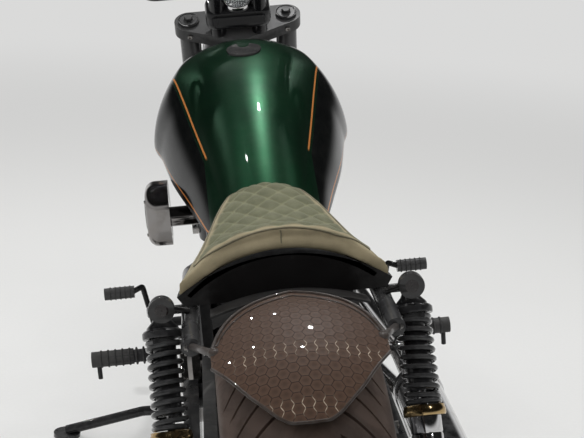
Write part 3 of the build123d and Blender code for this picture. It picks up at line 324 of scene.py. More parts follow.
def joined(name: str, pieces: Sequence[Piece]) -> Piece:
    """Several meshes as one piece.

    Args:
        name: The new piece's name.
        pieces: The meshes.

    Returns:
        The piece.
    """
    clear_selection()
    for piece in pieces:
        piece.select_set(True)
    bpy.context.view_layer.objects.active = pieces[0]
    if len(pieces) > 1:
        bpy.ops.object.join()
    return named(name)


def twin_at(piece: Piece, move: Matrix) -> Piece:
    """A copy of a piece, with a mesh of its own, moved by a matrix.

    Args:
        piece: What is copied.
        move: The matrix.

    Returns:
        The copy.
    """
    twin = piece.copy()
    twin.data = piece.data.copy()
    bpy.context.scene.collection.objects.link(twin)
    return set_down(twin, move)


def mirrored(piece: Piece) -> Piece:
    """A piece joined to its twin on the machine's other side."""
    name = piece.name
    return joined(name, [piece, faced_outwards(twin_at(piece, Matrix.Scale(-1, 4, OUT)))])


def skin(name: str, rows: Sequence[Sequence[Vector]], wrap_rows: bool = False, wrap_across: bool = False) -> Piece:
    """A surface through rows of points, made from a grid whose points are moved to their places.

    Args:
        name: The piece's name.
        rows: Rows of points, all of one length.
        wrap_rows: Whether the last row joins the first.
        wrap_across: Whether each row's last point joins its first.

    Returns:
        The surface, merged where it wraps.
    """
    rows = [list(row) + ([row[0]] if wrap_across else []) for row in rows]
    rows += [rows[0]] if wrap_rows else []
    clear_selection()
    bpy.ops.mesh.primitive_grid_add(x_subdivisions=len(rows[0]) - 1, y_subdivisions=len(rows) - 1, size=1)
    piece = named(name)
    piece.data.vertices.foreach_set("co", [value for row in rows for point in row for value in point])
    piece.data.update()
    return faced_outwards(piece, MERGE)


def filled(piece: Piece) -> Piece:
    """Closes a piece's open ends with flat faces.

    Args:
        piece: The open piece.

    Returns:
        The same piece, closed.
    """
    edit(piece)
    bpy.ops.mesh.select_all(action="DESELECT")
    bpy.ops.mesh.select_mode(type="EDGE")
    bpy.ops.mesh.select_non_manifold()
    bpy.ops.mesh.fill_holes(sides=0)
    bpy.ops.mesh.select_mode(type="VERT")
    return faced_outwards(piece, MERGE)


def moved_points(piece: Piece, shift: Callable[[Vector, Vector], Vector]) -> Piece:
    """Moves each point of a piece by a function of its place and its normal.

    Args:
        piece: The piece.
        shift: What works out a point's step.

    Returns:
        The same piece.
    """
    mesh = piece.data
    shifts = [shift(vertex.co.copy(), vertex.normal.copy()) for vertex in mesh.vertices]
    for vertex, step in zip(mesh.vertices, shifts):
        vertex.co += step
    mesh.update()
    return piece


def clamped(value: float, low: float = 0.0, high: float = 1.0) -> float:
    """A value held between two limits."""
    return min(max(value, low), high)


def spread(start: float, end: float, steps: int) -> list[float]:
    """Evenly spaced values from start to end."""
    return [start + (end - start) * i / steps for i in range(steps + 1)]


def between(rows: Sequence[Sequence[float]], at: float) -> list[float]:
    """A row of sizes worked out between its neighbours in a table, on a smooth curve through them.

    Args:
        rows: Sizes, each row led by its place, in falling or rising order.
        at: The place of the wanted row.

    Returns:
        The sizes at that place, without the place itself.
    """
    last = len(rows) - 1
    places = [row[0] for row in rows]
    index = next((i for i in range(last) if min(places[i:i + 2]) <= at <= max(places[i:i + 2])), last - 1)
    before, start, end, after = (rows[min(max(index + step, 0), last)] for step in (-1, 0, 1, 2))
    span = end[0] - start[0]
    share = (at - start[0]) / span
    square, cube = share ** 2, share ** 3
    sizes = []
    for i in range(1, len(start)):
        slope_in = (end[i] - before[i]) / (end[0] - before[0]) * span
        slope_out = (after[i] - start[i]) / (after[0] - start[0]) * span
        sizes.append((2 * cube - 3 * square + 1) * start[i] + (cube - 2 * square + share) * slope_in
                     + (3 * square - 2 * cube) * end[i] + (cube - square) * slope_out)
    return sizes


def arc(start: Pair, middle: Pair, end: Pair, count: int) -> list[Pair]:
    """Points along the arc through three points, the first included and the last left out.

    Args:
        start: Where the arc starts.
        middle: A point that it passes.
        end: Where it ends.
        count: How many points.

    Returns:
        The points.
    """
    (ax, ay), (bx, by), (cx, cy) = start, middle, end
    turn = 2 * (ax * (by - cy) + bx * (cy - ay) + cx * (ay - by))
    if abs(turn) < 1e-9:
        return [(ax + (cx - ax) * i / count, ay + (cy - ay) * i / count) for i in range(count)]
    a, b, c = ax * ax + ay * ay, bx * bx + by * by, cx * cx + cy * cy
    x = (a * (by - cy) + b * (cy - ay) + c * (ay - by)) / turn
    y = (a * (cx - bx) + b * (ax - cx) + c * (bx - ax)) / turn
    radius = math.hypot(ax - x, ay - y)
    first, mid, last = (math.atan2(py - y, px - x) for px, py in (start, middle, end))
    sweep = (last - first) % math.tau
    if (mid - first) % math.tau > sweep:
        sweep -= math.tau
    return [(x + radius * math.cos(first + sweep * i / count), y + radius * math.sin(first + sweep * i / count))
            for i in range(count)]


def clamp_spot(left: float, ahead: float, up: float) -> Vector:
    """A point given across, ahead of the steering axis and up along it from the top clamp's upper face."""
    return spot(left, *STEERING_HEAD) + FORK_AHEAD * ahead + FORK_UP * up


def landed(node: str, start: Vector, way: Vector) -> tuple[Vector, Vector] | None:
    """Where a straight line meets a node of the frame, on the upright machine.

    Args:
        node: The node's name.
        start: Where the line starts.
        way: The way it runs.

    Returns:
        The place and the face's normal there, or None where the line passes the node.
    """
    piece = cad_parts[node]
    there = piece.matrix_world.inverted() @ PARKED
    hit, place, normal, _ = piece.ray_cast(there @ start, (there.to_3x3() @ way).normalized())
    if not hit:
        return None
    back = there.inverted()
    return back @ place, (back.to_3x3() @ normal).normalized()


def settle(piece: Piece, body: Body, finish: "Finish", nodes: Sequence[str] = (), smooth: float = 35.0) -> None:
    """Leans a finished piece onto the stand, gives it its finish and ties it to its body.

    Args:
        piece: The piece, modelled on the upright machine.
        body: The body that it rides on.
        finish: What its surface is.
        nodes: Frame nodes that it stands for.
        smooth: Edges sharper than this angle, in degrees, stay sharp.
    """
    take(piece)
    piece.data.transform(PARKED)
    bpy.ops.object.shade_smooth_by_angle(angle=math.radians(smooth))
    piece.data.materials.append(finish.material())
    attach(piece, body.value)
    if nodes:
        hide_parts(*nodes)
    log.info("%s rides on %s, %d faces", piece.name, body.value, len(piece.data.polygons))


# Node trees


class Value:
    """A socket of a node tree, with which sums are written out."""

    def __init__(self, recipe: "Recipe", socket: bpy.types.NodeSocket) -> None:
        """Holds the socket and the recipe that it is part of."""
        self.recipe, self.socket = recipe, socket

    def __add__(self, other: "Value | float") -> "Value":
        """The sum."""
        return self.recipe.math("ADD", self, other)

    def __sub__(self, other: "Value | float") -> "Value":
        """The difference."""
        return self.recipe.math("SUBTRACT", self, other)

    def __rsub__(self, other: float) -> "Value":
        """What is left of a number."""
        return self.recipe.math("SUBTRACT", other, self)

    def __mul__(self, other: "Value | float") -> "Value":
        """The product."""
        return self.recipe.math("MULTIPLY", self, other)

    def __abs__(self) -> "Value":
        """The value without its sign."""
        return self.recipe.math("ABSOLUTE", self)

    def most(self, other: "Value | float") -> "Value":
        """The larger of two."""
        return self.recipe.math("MAXIMUM", self, other)

    def least(self, other: "Value | float") -> "Value":
        """The smaller of two."""
        return self.recipe.math("MINIMUM", self, other)

    def band(self, low: float, high: float, start: float = 0.0, end: float = 1.0, smooth: bool = False) -> "Value":
        """The value carried from the range low to high to the range start to end, clamped.

        Args:
            low: Where the first range starts.
            high: Where it ends.
            start: What low becomes.
            end: What high becomes.
            smooth: Whether it eases in and out.

        Returns:
            The value carried over.
        """
        inputs = {"Value": self, "From Min": low, "From Max": high, "To Min": start, "To Max": end}
        kind = "SMOOTHSTEP" if smooth else "LINEAR"
        return self.recipe.out("ShaderNodeMapRange", inputs, "Result", interpolation_type=kind)


class Recipe:
    """The node tree of a material or of a group, built from short calls."""

    def __init__(self, tree: bpy.types.NodeTree) -> None:
        """Works on the tree of one material or group."""
        self.tree = tree

    def feed(self, socket: bpy.types.NodeSocket, value: object) -> None:
        """Links a socket, or sets its value.

        Args:
            socket: A node's input.
            value: What goes in, worked out or plain.
        """
        if isinstance(value, Value):
            self.tree.links.new(value.socket, socket)
        else:
            socket.default_value = value

    def add(self, kind: str, inputs: dict | None = None, **settings: object) -> bpy.types.Node:
        """Adds a node.

        Args:
            kind: The node's type.
            inputs: Values by input name or number.
            settings: The node's own properties.

        Returns:
            The node.
        """
        node = self.tree.nodes.new(kind)
        for name, value in settings.items():
            setattr(node, name, value)
        for name, value in (inputs or {}).items():
            self.feed(node.inputs[name], value)
        return node

    def out(self, kind: str, inputs: dict | None = None, output: str | int = 0, **settings: object) -> Value:
        """One output of a node that is added."""
        return Value(self, self.add(kind, inputs, **settings).outputs[output])

    def math(self, operation: str, *values: object) -> Value:
        """One sum on up to three values."""
        return self.out("ShaderNodeMath", dict(enumerate(values)), operation=operation)

    def noise(self, place: Value, scale: object, detail: float = 3.0, rough: float = 0.5, warp: float = 0.0) -> Value:
        """Soft noise, from about 0.3 to 0.7."""
        return self.out("ShaderNodeTexNoise", {"Vector": place, "Scale": scale, "Detail": detail, "Roughness": rough,
                                               "Distortion": warp}, "Fac")

    def blend(self, share: object, first: object, second: object) -> Value:
        """Two colours mixed by a share."""
        colours = [value if isinstance(value, Value) else (*value[:3], 1.0) for value in (first, second)]
        return self.out("ShaderNodeMix", {0: share, 6: colours[0], 7: colours[1]}, 2, data_type="RGBA")

    def axes(self, place: Value) -> list[Value]:
        """The x, y and z of a place."""
        return [Value(self, socket) for socket in self.add("ShaderNodeSeparateXYZ", {0: place}).outputs]

    def group(self, tree: bpy.types.NodeTree, **inputs: object) -> list[Value]:
        """Places a node group with its own values."""
        return [Value(self, socket) for socket in self.add("ShaderNodeGroup", inputs, node_tree=tree).outputs]


class MaterialRecipe(Recipe):
    """The node tree of one material, ending in its shader."""

    def __init__(self, name: str) -> None:
        """Makes the material and finds its shader.

        Args:
            name: The material's name.
        """
        self.material = bpy.data.materials.new(name)
        self.material.use_nodes = True
        super().__init__(self.material.node_tree)
        self.shader = self.tree.nodes["Principled BSDF"]
        self.place = self.out("ShaderNodeTexCoord", output="Object")

    def set(self, **values: object) -> bpy.types.Material:
        """Sets or links the shader's inputs, named with underscores, and hands over the material.

        Args:
            **values: What goes into each input.

        Returns:
            The material.
        """
        for name, value in values.items():
            self.feed(self.shader.inputs[name.replace("_", " ")], value)
        return self.material

    def upright(self) -> Value:
        """The place on the upright machine."""
        inputs = {"Vector": self.place, "Location": UPRIGHT.translation, "Rotation": UPRIGHT.to_euler()}
        return self.out("ShaderNodeMapping", inputs, vector_type="POINT")

    def handled(self, scale: float) -> list[Value]:
        """The masks of smudges and specks."""
        return self.group(HANDLING, Place=self.place, Scale=scale)

    def rubbed(self, amount: float) -> Value:
        """The mask of rubbed edges."""
        return self.group(EDGES, Place=self.place, Amount=amount)[0]

    def dusted(self, amount: float) -> Value:
        """The mask of settled dust."""
        return self.group(DUST, Place=self.place, Amount=amount)[0]

    def bump(self, height: Value, depth: float, strength: float, under: Value | None = None) -> Value:
        """A surface relief from a height.

        Args:
            height: The height, 0 to 1.
            depth: What a height of 1 is, in metres.
            strength: How strongly it shows.
            under: Another relief below it.

        Returns:
            The normal.
        """
        inputs = {"Height": height, "Distance": depth, "Strength": strength} | ({"Normal": under} if under else {})
        return self.out("ShaderNodeBump", inputs, "Normal")


def mask_group(name: str, number: str, masks: dict[str, Callable[[Recipe, Value, Value], Value]]) -> bpy.types.NodeTree:
    """A node group whose masks are worked out from a place and one number.

    Args:
        name: The effect's name.
        number: The number's name.
        masks: What works out each mask, by the mask's name.

    Returns:
        The group.
    """
    tree = bpy.data.node_groups.new(name, "ShaderNodeTree")
    tree.interface.new_socket("Place", in_out="INPUT", socket_type="NodeSocketVector")
    tree.interface.new_socket(number, in_out="INPUT", socket_type="NodeSocketFloat")
    for mask in masks:
        tree.interface.new_socket(mask, in_out="OUTPUT", socket_type="NodeSocketFloat")
    recipe = Recipe(tree)
    place, amount = (Value(recipe, socket) for socket in recipe.add("NodeGroupInput").outputs[:2])
    gone = recipe.add("NodeGroupOutput").inputs
    for mask, work in masks.items():
        recipe.feed(gone[mask], work(recipe, place, amount))
    return tree


def smudges(recipe: Recipe, place: Value, scale: Value) -> Value:
    """Slow stains, where hands and cloths have been."""
    return recipe.noise(place, scale, 4.0, 0.6, 0.8).band(0.38, 0.66, smooth=True)


def specks(recipe: Recipe, place: Value, scale: Value) -> Value:
    """Fine spots, many times smaller than the stains."""
    return recipe.noise(place, scale * 22.0, 2.0, 0.7).band(0.58, 0.74, smooth=True)


def rubbed_edges(recipe: Recipe, place: Value, amount: Value) -> Value:
    """The outer edges, broken by noise."""
    point = recipe.out("ShaderNodeNewGeometry", output="Pointiness")
    return (point + (recipe.noise(place, 90.0) - 0.5) * 0.06).band(0.53, 0.60, smooth=True) * amount


def dust_drifts(recipe: Recipe, place: Value, amount: Value) -> Value:
    """Faces that look up, in drifts."""
    up = recipe.axes(recipe.out("ShaderNodeNewGeometry", output="Normal"))[2]
    return recipe.noise(place, 38.0, 5.0, 0.65).band(0.42, 0.68) * up.band(0.1, 1.0) * amount


HANDLING = mask_group("handling_marks", "Scale", {"Smudge": smudges, "Speck": specks})
EDGES = mask_group("rubbed_edges", "Amount", {"Mask": rubbed_edges})
DUST = mask_group("settled_dust", "Amount", {"Mask": dust_drifts})
DUST_GREY = (0.23, 0.22, 0.2)


def scaled(colour: Colour, by: float, lift: float = 0.0) -> Colour:
    """A colour made lighter or darker."""
    return tuple(channel * by + lift for channel in colour)


@dataclass(frozen=True)
class Finish:
    """What a surface is made of or painted with."""

    name: str
    slot: str

    def material(self) -> bpy.types.Material:
        """The finish's material, made on first use."""
        return bpy.data.materials.get(self.name) or self.mixed(MaterialRecipe(self.name))

    def mixed(self, recipe: MaterialRecipe) -> bpy.types.Material:
        """Fills the recipe; each kind of finish has its own."""
        raise NotImplementedError


@dataclass(frozen=True)
class Coat(Finish):
    """A painted, powdered or wrinkled coat on metal or moulded plastic."""

    colour: Colour
    rough: float
    gloss: float
    grain: float = 600.0
    depth: float = 0.00006
    worn: float = 0.25
    dusty: float = 0.12
    under: Colour = (0.2, 0.2, 0.2)

    def mixed(self, recipe: MaterialRecipe) -> bpy.types.Material:
        """A coat with its own relief, wipe marks, rubbed edges and dust.

        Args:
            recipe: The material's recipe.

        Returns:
            The material.
        """
        smudge, speck = recipe.handled(9.0)
        dust = recipe.dusted(self.dusty)
        tone = recipe.blend(smudge * 0.35, self.colour, scaled(self.colour, 1.5, 0.004))
        tone = recipe.blend(recipe.rubbed(self.worn), tone, self.under)
        return recipe.set(
            Base_Color=recipe.blend(dust, tone, DUST_GREY),
            Roughness=smudge * 0.10 + self.rough + speck * 0.05 + dust * 0.4,
            Coat_Weight=self.gloss, Coat_Roughness=0.05, Coat_IOR=1.35, Specular_IOR_Level=0.12,
            Normal=recipe.bump(recipe.noise(recipe.place, self.grain, 2.0), self.depth, 0.5))


@dataclass(frozen=True)
class Plate(Finish):
    """Polished or smoked plating, which shows wipe marks and a few specks."""

    colour: Colour = (0.62, 0.62, 0.63)
    rough: float = 0.07
    tint: Colour = (0.5, 0.46, 0.42)

    def mixed(self, recipe: MaterialRecipe) -> bpy.types.Material:
        """Plating with a faint warm bloom, wipe marks and dust.

        Args:
            recipe: The material's recipe.

        Returns:
            The material.
        """
        smudge, speck = recipe.handled(14.0)
        dust = recipe.dusted(0.08)
        tone = recipe.blend(smudge * 0.3, self.colour, self.tint)
        return recipe.set(
            Base_Color=recipe.blend(dust, tone, DUST_GREY), Metallic=1.0 - dust,
            Roughness=smudge * 0.09 + self.rough + speck * 0.06,
            Normal=recipe.bump(recipe.noise(recipe.place, 60.0, 1.0), 0.0002, 0.12))


@dataclass(frozen=True)
class Machined(Finish):
    """Bare metal with turned or brushed marks about a cross axle."""

    axle: Point
    colour: Colour = (0.45, 0.45, 0.46)
    rings: float = 1500.0
    rough: float = 0.3

    def mixed(self, recipe: MaterialRecipe) -> bpy.types.Material:
        """Fine rings round the axle and a little grime.

        Args:
            recipe: The material's recipe.

        Returns:
            The material.
        """
        inputs = {0: recipe.upright(), 1: self.axle}
        x, y, z = recipe.axes(recipe.out("ShaderNodeVectorMath", inputs, operation="SUBTRACT"))
        radius = recipe.math("SQRT", y * y + z * z)
        place = recipe.out("ShaderNodeCombineXYZ", {0: radius * self.rings, 1: 0.0, 2: x * 300.0})
        mark = recipe.noise(place, 1.0, 2.0)
        smudge = recipe.handled(16.0)[0]
        tone = recipe.blend(mark, scaled(self.colour, 0.75), self.colour)
        return recipe.set(
            Base_Color=recipe.blend(smudge * 0.4, tone, scaled(self.colour, 0.5)), Metallic=1.0,
            Roughness=smudge * 0.16 + self.rough, Normal=recipe.bump(mark, 0.00004, 0.6))


@dataclass(frozen=True)
class Rubber(Finish):
    """Moulded rubber, chalky where it is rubbed."""

    colour: Colour
    rough: float
    grain: float
    dusty: float
    chalk: Colour = (0.09, 0.088, 0.085)
    powder: Colour = (0.16, 0.15, 0.14)

    def mixed(self, recipe: MaterialRecipe) -> bpy.types.Material:
        """Rubber with a fine pebble, paler rubbed edges and dust.

        Args:
            recipe: The material's recipe.

        Returns:
            The material.
        """
        smudge, speck = recipe.handled(12.0)
        tone = recipe.blend(smudge, self.colour, scaled(self.colour, 1.7))
        tone = recipe.blend(recipe.rubbed(0.5).most(speck * 0.15), tone, self.chalk)
        return recipe.set(
            Base_Color=recipe.blend(recipe.dusted(self.dusty), tone, self.powder), Specular_IOR_Level=0.35,
            Roughness=self.rough + 0.1 - smudge * 0.2,
            Normal=recipe.bump(recipe.noise(recipe.place, self.grain), 0.00025, 0.6))


@dataclass(frozen=True)
class TankPaint(Finish):
    """Metallic green on top, gloss black on the sides, with copper pinstripes along the edge of the green."""

    green: Colour = (0.0036, 0.026, 0.012)
    glow: Colour = (0.0085, 0.052, 0.022)
    black: Colour = (0.003, 0.0035, 0.0035)
    copper: Colour = (0.46, 0.17, 0.045)
    front: Pair = (1.10, 0.166)     # the panel's edge: ahead of the rear axle, and half its width
    back: Pair = (0.79, 0.108)
    inset: float = 0.0055
    stripe: float = 0.0018
    blur: float = 0.0006
    lip: float = 1.158
    arch: float = 2.1

    def mixed(self, recipe: MaterialRecipe) -> bpy.types.Material:
        """The green panel ends where its stripes run, which draw in towards the seat.

        Args:
            recipe: The material's recipe.

        Returns:
            The material.
        """
        x, y, z = recipe.axes(recipe.upright())
        across, ahead = abs(x), y * -1.0
        (front, front_half), (back, back_half) = self.front, self.back
        slope = (front_half - back_half) / (front - back)
        off = across - ((ahead - back).most(0.0) * slope + back_half)
        reach = across * across * self.arch + ahead
        side = off.band(-self.blur, self.blur).most(reach.band(self.lip, self.lip + 0.0015))
        line = abs(off + self.inset).band(self.stripe, self.stripe - self.blur)
        line = line * ahead.band(back, back + 0.01) * reach.band(self.lip, self.lip - 0.002)
        low = ahead.band(0.64, 1.095, 0.612, 0.698) + ahead.band(1.095, 1.212, 0.0, 0.102)
        second = abs(z - low).band(self.stripe, self.stripe - self.blur) * side
        fleck = recipe.axes(recipe.out("ShaderNodeTexVoronoi", {"Vector": recipe.place, "Scale": 2600.0}, "Color"))[0]
        green = recipe.blend(recipe.noise(recipe.place, 5.0, 2.0).band(0.35, 0.65), self.green, self.glow)
        green = recipe.blend(fleck.band(0.8, 1.0, 0.0, 0.6), green, scaled(self.glow, 2.2))
        tone = recipe.blend(line.most(second), recipe.blend(side, green, self.black), self.copper)
        smudge, speck = recipe.handled(7.0)
        return recipe.set(
            Base_Color=recipe.blend(recipe.dusted(0.03), tone, DUST_GREY),
            Metallic=(1.0 - side) * 0.85 * (1.0 - line), Roughness=side.band(0.0, 1.0, 0.34, 0.14) + speck * 0.05,
            Coat_Weight=side * -0.3 + 1.0 - smudge * 0.15, Coat_Roughness=0.02, Coat_IOR=1.32,
            Specular_IOR_Level=0.08, Normal=recipe.bump(fleck, 0.00003, 0.35))


@dataclass(frozen=True)
class Suede(Finish):
    """Grey green suede, brushed one way and another, with stitches where the cover is sewn."""

    colour: Colour = (0.106, 0.110, 0.066)
    pale: Colour = (0.165, 0.166, 0.100)
    dark: Colour = (0.066, 0.070, 0.042)
    plain: Colour = (0.370, 0.310, 0.200)

    def mixed(self, recipe: MaterialRecipe) -> bpy.types.Material:
        """Nap that turns pale and dark in patches, a fine fibre, paler seams on the quilted fields and the plain band's
        own colour.

        Args:
            recipe: The material's recipe.

        Returns:
            The material.
        """
        nap = recipe.noise(recipe.place, 26.0, 5.0, 0.62)
        brushed = nap.band(0.34, 0.66)
        fibre = recipe.noise(recipe.place, 2400.0, 3.0, 0.7)
        sewn, plain = (recipe.out("ShaderNodeAttribute", output="Fac", attribute_name=name)
                       for name in ("sewn", "plain"))
        tone = recipe.blend(0.5, recipe.blend(brushed, self.dark, self.pale), self.colour)
        tone = recipe.blend(sewn * 0.75, tone, scaled(self.pale, 1.35))
        tone = recipe.blend(plain, tone, recipe.blend(brushed, scaled(self.plain, 0.8), self.plain))
        return recipe.set(
            Base_Color=recipe.blend(fibre.band(0.42, 0.62, 0.0, 0.3), tone, self.pale),
            Roughness=0.92 - recipe.handled(11.0)[0] * 0.12, Specular_IOR_Level=0.2, Sheen_Weight=0.2,
            Sheen_Roughness=0.4, Sheen_Tint=(0.9, 0.88, 0.7, 1.0),
            Normal=recipe.bump(fibre, 0.0004, 0.55, recipe.bump(nap, 0.002, 0.25)))


@dataclass(frozen=True)
class Honeycomb(Finish):
    """A dark brown clear coat over a honeycomb, laid on the fender's own map, with painted shade in the cells' middles
    and a painted highlight on the cell walls in two bands.
    """

    colour: Colour = (0.078, 0.044, 0.029)
    wall: Colour = (0.018, 0.011, 0.008)
    # colour of the cells' middles, where the dish is deepest (painted shade), and of the fine random grain
    shade: Colour = (0.054, 0.031, 0.020)
    # painted highlight colour of the cell walls in the two bands
    bright: Colour = (0.52, 0.43, 0.33)
    rubbed: Colour = (0.2, 0.16, 0.13)
    cell: float = 0.0165
    # places along the fender's map of the two bands of painted highlight on the cell walls
    bands: Pair = (0.138, 0.236)

    def mixed(self, recipe: MaterialRecipe) -> bpy.types.Material:
        """Each point is compared with the two grids of cell centres; the nearer one is its own.

        Args:
            recipe: The material's recipe.

        Returns:
            The material.
        """
        grid = recipe.out("ShaderNodeUVMap", uv_map="UVMap")
        along = recipe.axes(grid)[1]
        v, u, _ = recipe.axes(recipe.out("ShaderNodeVectorMath", {0: grid, 3: 1.0 / self.cell}, operation="SCALE"))
        tall = math.sqrt(3.0)
        near, sides = [], []
        for shift in (0.0, 0.5):
            across = abs(recipe.math("WRAP", u + shift, 1.0, 0.0) - 0.5)
            down = abs(recipe.math("WRAP", v + shift * tall, tall, 0.0) - tall / 2)
            near.append(across.most(across * 0.5 + down * (tall / 2)))
            sides.append(across)
        out = near[0].least(near[1])
        first = recipe.math("LESS_THAN", *near)
        square = first * sides[0] + (1.0 - first) * sides[1]
        # two bands across the fender where the cell walls get a painted highlight, broken up by noise
        rear, tip = (abs(along - middle).band(0.017, 0.006) for middle in self.bands)
        painted_glints = rear.most(tip) * recipe.noise(recipe.place, 16.0, 1.0).band(0.40, 0.55) * square.band(0.44, 0.36)
        wall = out.band(0.452, 0.478, smooth=True)
        # bowl is 0 in a cell's middle and 1 towards its wall; it sets both the relief and the painted shade
        bowl = out.band(0.0, 0.44, smooth=True)
        smudge, speck = recipe.handled(10.0)
        # each cell is painted darker towards its middle, at the bottom of its dish: painted shade
        tone = recipe.blend(bowl, self.shade, self.colour)
        # dark walls, with the painted highlight in the two bands
        tone = recipe.blend(wall * 0.85, tone, recipe.blend(painted_glints, self.wall, self.bright))
        tone = recipe.blend(recipe.noise(recipe.place, 1400.0, 2.0).band(0.55, 0.75, 0.0, 0.3), tone, self.shade)
        return recipe.set(
            Base_Color=recipe.blend(recipe.rubbed(0.2), tone, self.rubbed), Specular_IOR_Level=0.2,
            Roughness=speck * 0.1 + 0.5, Coat_Weight=1.0 - smudge * 0.2, Coat_Roughness=0.02, Coat_IOR=1.42,
            Normal=recipe.bump(bowl * 0.6 + wall, 0.0006, 0.7))


@dataclass(frozen=True)
class Lens(Finish):
    """Clear or tinted glass over a lamp."""

    colour: Colour = (0.92, 0.94, 0.95)
    rough: float = 0.03
    clear: float = 1.0
    flutes: float = 0.0
    film: Colour = (0.6, 0.58, 0.55)

    def mixed(self, recipe: MaterialRecipe) -> bpy.types.Material:
        """Glass with faint streaks of dust, and upright flutes where it has them.

        Args:
            recipe: The material's recipe.

        Returns:
            The material.
        """
        smudge, speck = recipe.handled(20.0)
        wave = recipe.math("SINE", recipe.axes(recipe.upright())[0] * (self.flutes * math.tau))
        relief = wave + recipe.noise(recipe.place, 30.0, 1.0)
        return recipe.set(
            Base_Color=recipe.blend(speck * 0.15, self.colour, self.film), Roughness=smudge * 0.05 + self.rough,
            Transmission_Weight=self.clear, IOR=1.5, Normal=recipe.bump(relief, 0.0006, 0.5 if self.flutes else 0.05))


FRAME_BLACK = Coat("frame_black_coat", "frame_black", (0.008, 0.008, 0.009), 0.24, 0.7, dusty=0.07)
CLAMP_BLACK = Coat("clamp_satin", "frame_black", (0.006, 0.006, 0.0065), 0.32, 0.3, dusty=0.04)
SPRING_BLACK = Coat("spring_gloss", "frame_black", (0.010, 0.010, 0.011), 0.14, 1.0)
WRINKLE = Coat("case_wrinkle_coat", "case_black", (0.022, 0.022, 0.023), 0.5, 0.15, 420.0, 0.0006, 0.3, 0.2)
CALIPER_COAT = Coat("caliper_coat", "case_black", (0.010, 0.010, 0.011), 0.38, 0.2, 700.0, 0.0001, 0.4, 0.15)
RIM_COAT = Coat("rim_coat", "case_black", (0.016, 0.016, 0.017), 0.26, 0.6, 500.0, 0.00006, 0.35, 0.15)
FIN_COAT = Coat("fin_coat", "fin_metal", (0.03, 0.03, 0.031), 0.45, 0.1, 500.0, 0.0002, 0.9, 0.15, (0.42, 0.42, 0.43))
SHELL_BLACK = Coat("shell_gloss", "shell_black", (0.008, 0.008, 0.0085), 0.16, 0.9, 350.0, 0.00003, 0.12, 0.1)
TAIL_SATIN = Coat("tail_satin", "shell_black", (0.006, 0.0055, 0.0055), 0.5, 0.1, worn=0.1, dusty=0.03)
SIGNAL_SHELL = Coat("signal_shell", "signal_smoke", (0.006, 0.0055, 0.0055), 0.2, 0.5, dusty=0.05)
FENDER_TRIM = Coat("fender_trim", "fender_brown", (0.026, 0.016, 0.011), 0.3, 0.4, dusty=0.04)
DIAL_WHITE = Coat("dial_white", "bright_chrome", (0.62, 0.62, 0.6), 0.4, 0.2)
CHROME = Plate("polished_chrome", "bright_chrome")
DARK_CHROME = Plate("smoked_chrome", "dark_chrome", (0.26, 0.25, 0.245), 0.06, (0.20, 0.175, 0.155))
BOLT_STEEL = Plate("bolt_steel", "brushed_metal", (0.42, 0.41, 0.40), 0.24)
BRASS_RING = Plate("brass_tint", "bright_chrome", (0.50, 0.36, 0.18), 0.16, (0.30, 0.2, 0.1))
REAR_TURNED = Machined("rear_turned_steel", "brushed_metal", tuple(REAR_AXLE))
FRONT_TURNED = Machined("front_turned_steel", "brushed_metal", tuple(FRONT_AXLE))
TYRE = Rubber("road_rubber", "tyre_rubber", (0.050, 0.034, 0.027), 0.6, 1200.0, 0.12)
SOFT = Rubber("moulded_rubber", "soft_rubber", (0.018, 0.018, 0.019), 0.55, 1500.0, 0.1)
BELT = Rubber("belt_compound", "belt_rubber", (0.02, 0.02, 0.021), 0.6, 800.0, 0.2)
TANK = TankPaint("tank_paint", "tank_green")
SEAT = Suede("sewn_suede", "seat_suede")
SEAT_WELT = Suede("welt_suede", "seat_suede", (0.16, 0.145, 0.098), (0.23, 0.205, 0.14), (0.10, 0.092, 0.062))
FENDER = Honeycomb("fender_honeycomb", "fender_brown")
LAMP_GLASS = Lens("clear_lens", "lamp_glass", flutes=90.0)
SMOKED_LENS = Lens("smoked_lens", "signal_smoke", (0.012, 0.008, 0.008), 0.06, 0.1)


@dataclass
class CarriedNodes:
    """The frame's own nodes, which keep their shape and get their finish."""

    finishes: Sequence[tuple[Finish, str]] = (
        (FRAME_BLACK, "main_frame swingarm shock_springs foot_controls fork_tubes fork_sliders handlebar levers"),
        (FRAME_BLACK, "side_stand"), (WRINKLE, "engine_case"), (FIN_COAT, "cylinders cylinder_heads"),
        (CHROME, "pushrod_tubes exhaust_pipes mufflers shock_bodies"), (TANK, "fuel_tank"), (SEAT, "seat"),
        (DARK_CHROME, "primary_cover gear_cover intake_cover"), (TAIL_SATIN, "tail_shell"),
        (SHELL_BLACK, "filler_cap side_covers headlamp front_fender"), (FENDER_TRIM, "rear_fender"),
        (SIGNAL_SHELL, "rear_signals front_signals"), (SOFT, "rider_pegs grips"), (BELT, "drive_belt"),
        (BOLT_STEEL, "rear_axle front_axle"), (CALIPER_COAT, "rear_caliper front_calipers"),
        (CLAMP_BLACK, "triple_clamps"), (LAMP_GLASS, "headlamp_lens"), (TYRE, "front_tyre rear_tyre"),
        (RIM_COAT, "front_rim rear_rim rear_pulley"), (FRONT_TURNED, "front_discs"), (REAR_TURNED, "rear_disc"))

    def dress(self) -> None:
        """Gives every node its finish."""
        for finish, names in self.finishes:
            for name in names.split():
                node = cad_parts[name]
                node.data.materials.clear()
                node.data.materials.append(finish.material())
                log.info("%s is finished in %s", name, finish.name)


